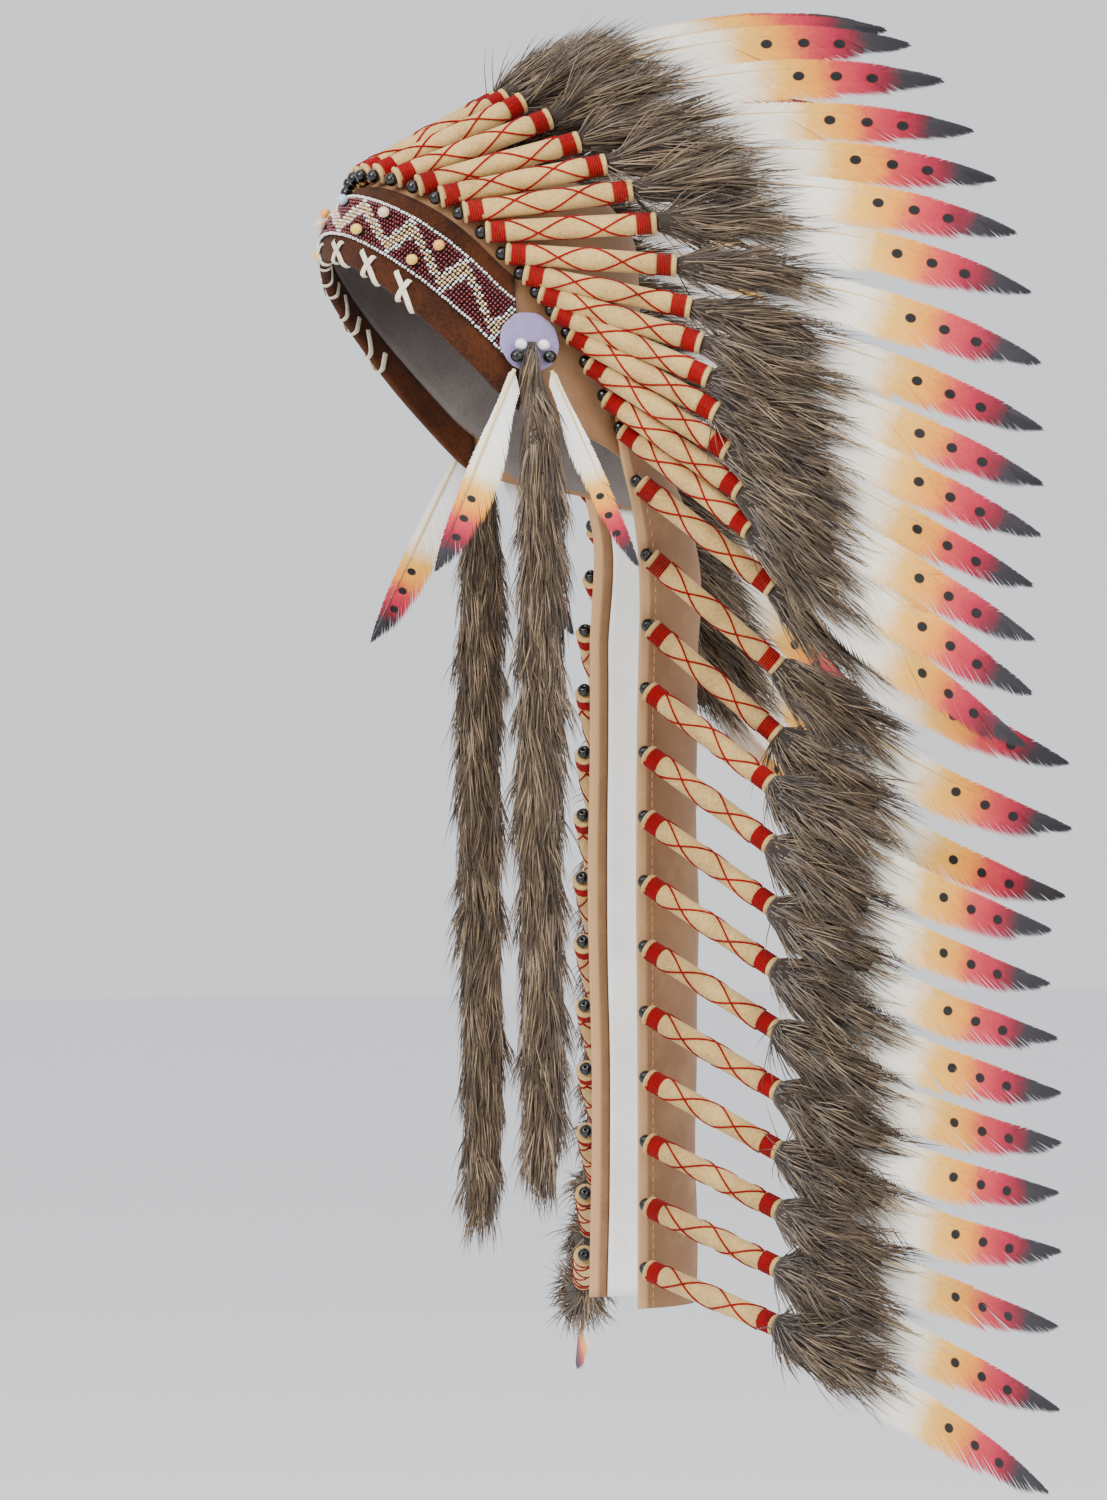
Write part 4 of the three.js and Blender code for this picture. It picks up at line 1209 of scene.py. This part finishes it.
# %% Feather finish
def feather_finish():
    """Bands of dye along the feather, three dark spots, and fine barb lines."""
    f = Finish("dyed_feather", roughness=0.6, sheen=0.25, specular=0.3)
    split = f.node("SeparateXYZ", {"Vector": f.node("UVMap", uv_map="surface").outputs["UV"]}).outputs
    along, over = split["X"], split["Y"]
    wander = f.math("MULTIPLY", f.math("SUBTRACT", f.noise(55.0, 4.0), 0.5), 0.07)
    fine = f.math("MULTIPLY", f.math("SUBTRACT", f.noise(500.0, 2.0), 0.5), 0.05)
    place = f.math("ADD", f.math("ADD", along, wander), fine)
    bands = [
        (0.0, shade(226, 222, 214)),
        (0.3, shade(248, 247, 244)),
        (0.5, shade(248, 240, 220)),
        (0.58, shade(242, 186, 78)),
        (0.68, shade(238, 150, 34)),
        (0.735, shade(206, 62, 62)),
        (0.8, shade(178, 18, 56)),
        (0.855, shade(120, 16, 40)),
        (0.89, shade(44, 40, 46)),
        (1.0, shade(24, 23, 27)),
    ]
    dyed = f.ramp(place, bands)
    spots = None
    for centre in (0.635, 0.73, 0.82):
        dx = f.math("MULTIPLY", f.math("SUBTRACT", along, centre), 190.0)
        dy = f.math("SUBTRACT", over, 4.6)
        far = f.math("SQRT", f.math("ADD", f.math("MULTIPLY", dx, dx), f.math("MULTIPLY", dy, dy)))
        spots = far if spots is None else f.math("MINIMUM", spots, far)
    dark = f.math("SUBTRACT", 1.0, f.spread(spots, 2.6, 3.2), clamp=True)
    spotted = f.blend(dark, dyed, shade(12, 9, 11))
    tone = f.node("Attribute", attribute_name="tone").outputs["Fac"]
    f.colour(f.blend(f.math("MULTIPLY", tone, 0.22), spotted, shade(120, 110, 100), "MULTIPLY"))
    f.surface.inputs["Subsurface Weight"].default_value = 0.08
    f.surface.inputs["Subsurface Radius"].default_value = (0.002, 0.0015, 0.001)
    return f.bump(f.noise(2400.0, 2.0), 0.0002, 0.5).material


DYED_FEATHER = feather_finish()


def shaft_finish():
    """The shaft is horn coloured, takes the dye as streaks, and ends dark."""
    f = Finish("feather_shaft", roughness=0.4, coat=0.2)
    along = f.node("SeparateXYZ", {"Vector": f.node("UVMap", uv_map="surface").outputs["UV"]}).outputs["X"]
    streaks = f.math("MULTIPLY", f.math("SUBTRACT", f.noise(260.0, 2.0), 0.5), 0.3)
    stops = [
        (0.0, shade(226, 208, 158)),
        (0.55, shade(218, 184, 120)),
        (0.7, shade(160, 84, 40)),
        (0.8, shade(120, 30, 34)),
        (0.9, shade(52, 40, 44)),
        (1.0, shade(30, 28, 32)),
    ]
    return f.colour(f.ramp(f.math("ADD", along, streaks), stops)).material


SHAFT = shaft_finish()
print("feather finish ready")

# %% One feather
def vane_width(share, full, belly):
    """Width of a vane along the feather: it fills out, then rounds off at the tip."""
    share = np.asarray(share, float)
    fill = 0.5 + 0.5 * smooth(share, 0.12, belly)
    over_tip = np.clip((share - 0.56) / 0.44, 0, 1)
    return full * fill * np.clip(1 - over_tip**2.2, 0, 1) ** 0.7


def barb_ends(starts, cots, outline, length):
    """How far across each barb goes before it meets the outline, found by halving."""
    low, high = np.zeros(len(starts)), np.full(len(starts), 40.0)
    for _ in range(24):
        middle = (low + high) / 2
        inside = middle < outline(np.minimum((starts + middle * cots * 1.1) / length, 1.0))
        low, high = np.where(inside, middle, low), np.where(inside, high, middle)
    return np.maximum(low, 0.4)


BARB_SHARES = np.array([0.0, 0.5, 0.86, 1.0])
BARB_HALVES = np.array([0.64, 0.66, 0.52, 0.0])


def barb(pile, frame_at, start, side, t_end, s_end, pitch, lift, tone, length):
    """One closed sliver from the shaft to the outline; side is +1 for the wide vane."""
    t = t_end * BARB_SHARES
    s = start + (s_end - start) * BARB_SHARES * (0.88 + 0.12 * BARB_SHARES)
    half = pitch * BARB_HALVES
    camber = -0.0085 * t**2
    rows = []
    for k in range(3):
        for offset, rise in ((-half[k], 0.0), (half[k], -0.14), (0.0, 0.26)):
            rows.append((s[k] + offset, side * t[k], camber[k] + rise + lift * BARB_SHARES[k]))
    rows.append((s[3], side * t[3], camber[3] + lift))
    rows = np.array(rows)
    points = frame_at(rows[:, 0], rows[:, 1], rows[:, 2])
    uv = np.stack([rows[:, 0] / length, rows[:, 1]], -1)
    pile.add(points, BARB_FACES if side > 0 else BARB_FACES_TURNED, 0, uv, tone)


BARB_FACES = [
    (3 * k + j, 3 * k + (j + 1) % 3, 3 * k + 3 + (j + 1) % 3, 3 * k + 3 + j)
    for k in (0, 1)
    for j in range(3)
]
BARB_FACES += [(6, 7, 9), (7, 8, 9), (8, 6, 9), (0, 2, 1)]
BARB_FACES_TURNED = [tuple(reversed(face)) for face in BARB_FACES]


def feather(pile, place_along, length, vanes, chance, first=0.16, pitch=2.35, spread=across):
    """A whole feather: shaft and a wide and a narrow vane, laid along place_along(distance)."""
    bend = chance.normal(0, 1.6)
    belly = chance.uniform(0.42, 0.52)
    twist = chance.normal(0, 0.12)

    def frame_at(s, t, h):
        centre, ways = place_along(s)
        down, flat = spread(ways)
        roll = twist + 0.12 * (s / length - 0.4)
        curl = bend * (s / length) ** 2
        return centre + down * (t * np.cos(roll))[:, None] + flat * (h + curl + t * np.sin(roll))[:, None]

    tone = chance.uniform(0, 0.5)
    for side, full in zip((1, -1), vanes):
        starts = np.arange(length * first, length * 0.99, pitch)
        shares = starts / length
        cots = 1 / np.tan(np.radians(40 - 17 * shares + (5 if side < 0 else 0)))
        ends = barb_ends(starts, cots, lambda x, full=full: vane_width(x, full, belly), length)
        reach = 1 + 0.025 * np.sin(starts / 9 + tone * 40) + chance.normal(0, 0.012, len(starts))
        lift = np.zeros(len(starts))
        for split in chance.uniform(0.3, 0.92, 4 if side > 0 else 2):
            past = (shares - split) * length
            fade_out = np.where(past > 0, np.exp(-np.maximum(past, 0) / 14), 0)
            reach -= chance.uniform(0.03, 0.12) * fade_out
            lift += chance.uniform(-2.0, 2.0) * fade_out
        tips = starts + ends * reach * cots * 1.1 + chance.normal(0, 0.3, len(starts))
        shades = np.clip(tone + chance.normal(0, 0.12, len(starts)), 0, 1)
        for k, start in enumerate(starts):
            s_end = min(tips[k], length)
            end_over, barb_tone = ends[k] * reach[k], float(shades[k])
            barb(pile, frame_at, start, side, end_over, s_end, pitch, lift[k], barb_tone, length)
    steps = np.linspace(0.02, 0.985, 15) * length
    spine = frame_at(steps, 0 * steps, 0 * steps + 0.35)
    flats = spread(place_along(steps)[1])[1]
    sizes = np.linspace(2.8, 0.5, 15)
    sweep(pile, spine, flats, sizes, sizes * 0.75, slot=1, sides=6, boxy=1, tone=0.2)


def feathers_of(name, quills, seed):
    pile = Pile()
    chance = np.random.default_rng(seed)
    for quill in quills:
        vanes = WIDE * chance.uniform(0.9, 1.02), NARROW * chance.uniform(0.85, 1.05)
        feather(pile, quill.at, quill.length, vanes, chance)
    return report(pile.make(name, [DYED_FEATHER, SHAFT], smooth_faces=False))


LEFT = [q for q in QUILLS if q.side > 0]
RIGHT = [q for q in QUILLS if q.side < 0]
feather_pieces = [feathers_of("feathers_left", LEFT, 21), feathers_of("feathers_right", RIGHT, 22)]
for piece in feather_pieces:
    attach(piece, "root")

# %% [markdown]
# ## Fur
# Each tuft is a bundle of long hairs that leaves the wrap and lies along the
# feather. The tree scatters roots over a small core, points each hair partly along
# the tuft and partly outward, and varies its length and tone. The core carries a
# "flow" vector at every point, which is the way its hairs lie.

# %% Fur finish and one hair
def fur_finish(name="fur"):
    f = Finish(name, roughness=0.6, sheen=0.2, specular=0.2)
    tone = f.node("Attribute", attribute_name="tone").outputs["Fac"]
    stops = [
        (0.0, shade(40, 29, 20)),
        (0.35, shade(78, 61, 45)),
        (0.7, shade(108, 88, 67)),
        (1.0, shade(166, 143, 112)),
    ]
    clouds = f.math("MULTIPLY", f.math("SUBTRACT", f.noise(30.0, 2.0), 0.5), 0.5)
    f.colour(f.ramp(f.math("ADD", tone, clouds), stops))
    return f.material


FUR = fur_finish()


def make_hair():
    """A hair one metre tall for the tree to scale: three sides, bent, to a point."""
    rows = []
    for height, radius, bend in ((0.0, 1.0, 0.0), (0.55, 0.8, 3.0)):
        for corner in range(3):
            angle = 2 * math.pi * corner / 3
            rows.append((radius * math.cos(angle) + bend, radius * math.sin(angle), height))
    rows.append((12.0, 0.0, 1.0))
    faces = [(j, (j + 1) % 3, (j + 1) % 3 + 3, j + 3) for j in range(3)]
    faces += [(3, 4, 6), (4, 5, 6), (5, 3, 6), (2, 1, 0)]
    hair = Pile()
    hair.add(np.array(rows) * 1000, faces)
    hair = hair.make("hair_master", [FUR])
    hair.data.attributes.remove(hair.data.attributes["tone"])
    return hair


def fur_tree():
    """Scatters "Hair" over a core along its "flow", with named sizes."""
    sockets = [
        ("Hair", "NodeSocketObject", None),
        ("Finish", "NodeSocketMaterial", None),
        ("Per square metre", "NodeSocketFloat", 80000.0),
        ("Length", "NodeSocketFloat", 0.03),
        ("Radius", "NodeSocketFloat", 0.0005),
        ("Spread", "NodeSocketFloat", 0.4),
        ("Seed", "NodeSocketInt", 1),
    ]
    tree = new_tree("fur_over_a_core", sockets)
    enter = add_node(tree, "NodeGroupInput").outputs
    values = {"Mesh": enter["Geometry"], "Density": enter["Per square metre"], "Seed": enter["Seed"]}
    scatter = add_node(tree, "GeometryNodeDistributePointsOnFaces", values).outputs

    def chance(low, high, offset, kind="FLOAT"):
        node = add_node(tree, "FunctionNodeRandomValue", data_type=kind)
        vector = kind == "FLOAT_VECTOR"
        node.inputs["Min" if vector else 2].default_value = low
        node.inputs["Max" if vector else 3].default_value = high
        seed = add_node(tree, "ShaderNodeMath", {0: enter["Seed"], 1: float(offset)}, operation="ADD")
        tree.links.new(seed.outputs[0], node.inputs["Seed"])
        return node.outputs["Value" if vector else 1]

    def scaled(vector, amount):
        values = {0: vector, "Scale": amount}
        return add_node(tree, "ShaderNodeVectorMath", values, operation="SCALE").outputs[0]

    def total(first, second):
        return add_node(tree, "ShaderNodeVectorMath", {0: first, 1: second}, operation="ADD").outputs[0]

    flow = named(tree, "flow", "FLOAT_VECTOR")
    outward_part = scaled(scatter["Normal"], enter["Spread"])
    where = add_node(tree, "GeometryNodeInputPosition").outputs[0]
    locks = add_node(tree, "ShaderNodeTexNoise", {"Vector": where, "Scale": 75.0, "Detail": 1.0}).outputs
    lock_way = add_node(tree, "ShaderNodeVectorMath", {0: locks["Color"]}, operation="SUBTRACT")
    lock_way.inputs[1].default_value = (0.5, 0.5, 0.5)
    stray = chance((-0.12, -0.12, -0.12), (0.12, 0.12, 0.12), 3, "FLOAT_VECTOR")
    way = total(total(flow, outward_part), total(stray, scaled(lock_way.outputs[0], 1.5)))
    turned = add_node(tree, "FunctionNodeAlignRotationToVector", {"Vector": way})
    turned.axis = "Z"
    inward = scaled(scatter["Normal"], -1.0)
    curled = {"Rotation": turned.outputs[0], "Vector": inward}
    curled = add_node(tree, "FunctionNodeAlignRotationToVector", curled)
    curled.axis, curled.pivot_axis = "X", "Z"
    lengths = {0: enter["Length"], 1: chance(0.55, 1.15, 5)}
    tall = add_node(tree, "ShaderNodeMath", lengths, operation="MULTIPLY")
    sizes = {"X": enter["Radius"], "Y": enter["Radius"], "Z": tall.outputs[0]}
    size = add_node(tree, "ShaderNodeCombineXYZ", sizes).outputs[0]
    hair = add_node(tree, "GeometryNodeObjectInfo", {"Object": enter["Hair"]}).outputs["Geometry"]
    values = {"Points": scatter["Points"], "Instance": hair, "Rotation": curled.outputs[0], "Scale": size}
    hairs = add_node(tree, "GeometryNodeInstanceOnPoints", values).outputs["Instances"]
    toned = add_node(tree, "GeometryNodeStoreNamedAttribute", data_type="FLOAT", domain="INSTANCE")
    tree.links.new(hairs, toned.inputs["Geometry"])
    toned.inputs["Name"].default_value = "tone"
    lock_tone = add_node(tree, "ShaderNodeMath", {0: locks["Fac"], 1: 0.9}, operation="MULTIPLY").outputs[0]
    own_tone = chance(-0.3, 0.5, 7)
    tone = add_node(tree, "ShaderNodeMath", {0: lock_tone, 1: own_tone}, operation="ADD").outputs[0]
    tree.links.new(tone, toned.inputs["Value"])
    real = add_node(tree, "GeometryNodeRealizeInstances", {"Geometry": toned.outputs["Geometry"]})
    join = add_node(tree, "GeometryNodeJoinGeometry")
    tree.links.new(real.outputs["Geometry"], join.inputs["Geometry"])
    tree.links.new(enter["Geometry"], join.inputs["Geometry"])
    values = {"Geometry": join.outputs["Geometry"], "Material": enter["Finish"]}
    coloured = add_node(tree, "GeometryNodeSetMaterial", values).outputs["Geometry"]
    tree.links.new(coloured, add_node(tree, "NodeGroupOutput").inputs["Geometry"])
    return tree


FUR_TREE = fur_tree()
hair_master = make_hair()
print("fur tree has", len(FUR_TREE.nodes), "nodes")

# %% Tufts
def core_of(pile, flows, centre, ways, half_down, half_flat, pull, sides=9):
    """An oval core along a line, closed at both ends, with its flow kept and the darkest fur tone, for
    undercoat and painted shade between the hairs.
    """
    down, flat = across(ways)
    angles = np.linspace(0, 2 * math.pi, sides, endpoint=False)
    points = centre[:, None, :] + down[:, None, :] * (np.cos(angles) * half_down[:, None])[..., None]
    points = points + flat[:, None, :] * (np.sin(angles) * half_flat[:, None])[..., None]
    points = points.reshape(-1, 3)
    # Tone 0.0 gives the core the darkest fur colour: partly a dark undercoat, partly painted shade deep
    # between the hairs.
    pile.add(points, outward(points, tube_faces(len(centre), sides)), tone=0.0)
    flows.append(np.repeat(ways * pull[:, None], sides, axis=0))


TUFT_SIZES = [(0, 9.5, 6.0), (7, 9.5, 8.0), (12, 12.0, 9.0), (18, 14.5, 12.0)]


def tufts_of(name, quills, seed, density):
    pile, flows = Pile(), []
    for quill in quills:
        half_down, half_flat = [s[1:] for s in TUFT_SIZES if quill.number >= s[0]][-1]
        distance = np.array([-1.0, 3.0, 16.0, 36.0, 58.0, 78.0])
        swell = np.array([0.55, 0.8, 1.15, 1.3, 1.05, 0.3])
        pull = np.array([0.65, 0.8, 0.95, 1.0, 1.0, 1.0])
        centre, ways = quill.at(distance)
        core_of(pile, flows, centre, ways, swell * half_down * 0.85, swell * half_flat * 0.85, pull)
    core = pile.make(name + "_core", [FUR], vectors={"flow": np.concatenate(flows)})
    inputs = {"Hair": hair_master, "Finish": FUR, "Per square metre": density}
    inputs.update({"Length": 0.038, "Radius": 0.0004, "Spread": 0.34, "Seed": seed})
    return report(run_tree(core, FUR_TREE, inputs, name))


tufts = [tufts_of("fur_tufts_left", LEFT, 31, 132000.0), tufts_of("fur_tufts_right", RIGHT, 32, 115000.0)]
for piece in tufts:
    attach(piece, "root")
PLUME_NODES = [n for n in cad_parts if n.startswith("plumes")]
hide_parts(*[n for n in PLUME_NODES if not n.endswith("right")])
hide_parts(*[n for n in PLUME_NODES if n.endswith("right")])

# %% [markdown]
# ## Temples
# A felt rosette closes each end of the band, with two white and two black beads. A
# long strip of fur and two short feathers hang from under it, and fall free once
# they pass the wall of the hood.

# %% Temple frames
ROSETTE_TURN, ROSETTE_UP, ROSETTE_RADIUS, ROSETTE_THICK = math.radians(101.5), 28.0, 19.0, 2.4
DROP_LENGTH, DROP_HALF_WIDTH, DROP_HALF_DEPTH = 528.0, 17.0, 10.0


class Temple:
    """The rosette's own axes: back along the head, above, and outward."""

    def __init__(self, side):
        turn = side * ROSETTE_TURN
        seat = on_hood(turn, ROSETTE_UP, 0.0)
        self.side = side
        self.centre = hang(on_hood(turn, ROSETTE_UP, STRIP_FACE + GAP))[0]
        self.outward = hang_way(seat, unit(on_hood(turn, ROSETTE_UP, 1.0) - seat))[0]
        up = np.array([0, 0, 1.0])
        self.above = unit(up - self.outward * self.outward[2])
        self.back = np.cross(self.outward, self.above) * side
        self.fall = -self.above if -self.above[0] * side >= 0 else np.array([0, 0, -1.0])

    def place(self, over, down, out):
        over, down, out = (np.asarray(v, float)[..., None] for v in (over, down, out))
        return self.centre + self.back * over - self.above * down + self.outward * out


temples = {"left": Temple(1), "right": Temple(-1)}
print("rosette centres", [np.round(t.centre).tolist() for t in temples.values()])

# %% Rosettes and their beads
ROSETTE_BEADS = [(-7.4, 3.0, 3.8, 0), (7.4, 3.0, 3.8, 0), (-10.5, 10.5, 4.2, 1), (10.5, 10.5, 4.2, 1)]


def make_rosette(temple, name):
    """A thick felt disc with a slightly scalloped edge and a crowned face."""
    pile, sides = Pile(), 72
    angles = np.linspace(0, 2 * math.pi, sides, endpoint=False)
    scallop = 1 + 0.012 * np.sin(9 * angles) + 0.006 * np.sin(23 * angles)
    outline = [(0.04, 2.5), (0.5, 2.45), (0.9, 2.3), (0.985, 1.9)]
    outline += [(1.0, 1.2), (0.98, 0.45), (0.9, 0.1), (0.04, 0.1)]
    rows = []
    for reach, out in outline:
        radius = ROSETTE_RADIUS * (1 + (scallop - 1) * reach)
        round_about = radius * reach * np.cos(angles), radius * reach * np.sin(angles)
        rows.append(temple.place(*round_about, out + 0 * angles))
    points = np.concatenate(rows)
    pile.add(points, outward(points, tube_faces(len(outline), sides)))
    return report(pile.make(name, [LAVENDER_FELT]))


def make_rosette_beads(temple, name):
    pile = Pile()
    for over, down, radius, slot in ROSETTE_BEADS:
        centre = temple.place(over, down, ROSETTE_THICK + GAP + radius)
        faces_to = temple.above * 0.9 + temple.outward * 0.4
        bead_ball(pile, centre, faces_to, radius, rings=14, sides=22, slot=slot)
    return report(pile.make(name, [WHITE_BEAD, BLACK_BEAD]))


for label, temple in temples.items():
    rosette = make_rosette(temple, f"rosette_felt_{label}")
    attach(rosette, "root")
    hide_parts(f"rosette_{label}")
    across_disc = 2 * ROSETTE_RADIUS / 1000
    declare_cut(rosette, across_disc, wide=across_disc)
    beads = make_rosette_beads(temple, f"rosette_beads_{label}")
    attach(beads, "root")
    names = [f"{tint}_bead_{place}_{label}" for tint in ("white", "black") for place in ("front", "back")]
    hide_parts(*names)

# %% Fur drops
def make_drop(temple, name, seed):
    """A long strip of deep fur: a thin core with hairs that fall and part."""
    share = np.linspace(0, 0.955, 40)
    widths = np.interp(share, [0, 0.05, 0.13, 0.22, 0.6, 0.9, 1], [0.25, 0.42, 0.8, 1, 0.94, 0.86, 0.3])
    drop = share * DROP_LENGTH
    leaning = np.minimum(drop, 60.0)
    start = temple.place(0, 1, ROSETTE_THICK + GAP)
    centre = start + temple.fall * leaning[:, None] - np.array([0, 0, 1.0]) * (drop - leaning)[:, None]
    centre = centre + temple.outward * (GAP + DROP_HALF_DEPTH * np.minimum(widths, 1) * 0.8)[:, None]
    sway = 1.5 * np.sin(drop / 60.0 + seed)
    centre = centre + temple.back * (sway * smooth(drop, 60, 160))[:, None]
    angles = np.linspace(0, 2 * math.pi, 12, endpoint=False)
    half_width, half_depth = DROP_HALF_WIDTH * widths * 0.72, DROP_HALF_DEPTH * widths * 0.5
    points = centre[:, None, :] + temple.back * (np.cos(angles) * half_width[:, None])[..., None]
    points = points + temple.outward * (np.sin(angles) * half_depth[:, None])[..., None]
    points = points.reshape(-1, 3)
    pile = Pile()
    pile.add(points, outward(points, tube_faces(len(share), 12)), tone=0.1)
    flow = np.repeat(np.where((leaning < 60)[:, None], temple.fall, [0, 0, -1.0]), 12, axis=0)
    core = pile.make(name + "_core", [FUR], vectors={"flow": flow})
    inputs = {"Hair": hair_master, "Finish": FUR, "Per square metre": 300000.0}
    inputs.update({"Length": 0.032, "Radius": 0.00038, "Spread": 0.24, "Seed": seed})
    return report(run_tree(core, FUR_TREE, inputs, name))


for label, temple in temples.items():
    fur = make_drop(temple, f"fur_drop_strands_{label}", 41 if label == "left" else 42)
    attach(fur, "root")
    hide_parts(f"fur_drop_{label}")

# %% Side feathers
SIDE_FEATHERS = {
    "front": (-11.0, 16.0, -21.0, 134.0, (13.0, 4.5)),
    "back": (11.0, 16.0, 25.0, 143.0, (18.0, 5.0)),
}


def side_feather(pile, temple, over, down, slant, length, vanes, chance):
    """A short tipped feather beside the fur drop, its wide vane toward the fur."""
    slant = math.radians(slant)
    along = unit(temple.fall * math.cos(slant) + temple.back * math.sin(slant))
    root = temple.place(over, down, ROSETTE_THICK + 2)
    inner = np.cross(along, temple.outward)
    inner = unit(inner) * -np.sign(np.dot(inner, temple.back) * over)
    row_down, row_flat = (ways[0] for ways in across(along[None, :]))
    hand = np.sign(np.dot(np.cross(row_down, row_flat), along))
    flat = np.cross(along, inner) * hand

    def place_along(s):
        s = np.atleast_1d(np.asarray(s, float))
        return root + s[:, None] * along, np.repeat(along[None, :], len(s), axis=0)

    def spread(ways):
        return np.repeat(inner[None, :], len(ways), axis=0), np.repeat(flat[None, :], len(ways), axis=0)

    feather(pile, place_along, length, vanes, chance, first=0.03, pitch=1.9, spread=spread)


for label, temple in temples.items():
    pile, chance = Pile(), np.random.default_rng(51 if label == "left" else 52)
    for over, down, slant, length, vanes in SIDE_FEATHERS.values():
        side_feather(pile, temple, over, down, slant, length, vanes, chance)
    piece = report(pile.make(f"side_feathers_{label}", [DYED_FEATHER, SHAFT], smooth_faces=False))
    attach(piece, "root")
    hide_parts(f"side_feather_front_{label}", f"side_feather_back_{label}")
bpy.data.objects.remove(hair_master, do_unlink=True)

# %% [markdown]
# ## Stage
# A plain pale floor lies below the piece, and large soft lamps light it from the
# front, the side and above, under an even pale sky.

# %% Floor and light
def stage_plane(name, corners, material):
    mesh = bpy.data.meshes.new(name)
    mesh.from_pydata(corners, [], [(0, 1, 2, 3)])
    mesh.materials.append(material)
    plane = bpy.data.objects.new(name, mesh)
    bpy.context.scene.collection.objects.link(plane)
    plane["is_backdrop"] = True
    return plane


pale = Finish("pale_floor", roughness=0.9)
pale.colour(shade(244, 244, 245))
floor_z = cad_low[2] - 0.35
corners = [(x, y, floor_z) for x, y in ((-12, -12), (12, -12), (12, 12), (-12, 12))]
stage_plane("floor", corners, pale.material)


def soft_lamp(name, azimuth, height, distance, size, power):
    data = bpy.data.lights.new(name, "AREA")
    data.energy, data.size = power, size
    lamp = bpy.data.objects.new(name, data)
    angle = math.radians(azimuth)
    lamp.location = (distance * math.sin(angle), -distance * math.cos(angle), height)
    aim_at = np.array([0, 0.1, -0.35]) - np.array(lamp.location)
    lamp.rotation_euler = (
        math.acos(-aim_at[2] / np.linalg.norm(aim_at)),
        0,
        math.atan2(aim_at[1], aim_at[0]) - math.pi / 2,
    )
    bpy.context.scene.collection.objects.link(lamp)


soft_lamp("key", 40, 1.3, 2.6, 1.6, 85)
soft_lamp("side", 125, 0.6, 2.8, 2.0, 45)
soft_lamp("top", 80, 2.4, 1.2, 2.0, 40)
world = bpy.data.worlds.new("soft_room")
world.use_nodes = True
world.node_tree.nodes["Background"].inputs["Color"].default_value = shade(236, 238, 242)
world.node_tree.nodes["Background"].inputs["Strength"].default_value = 1.25
bpy.context.scene.world = world
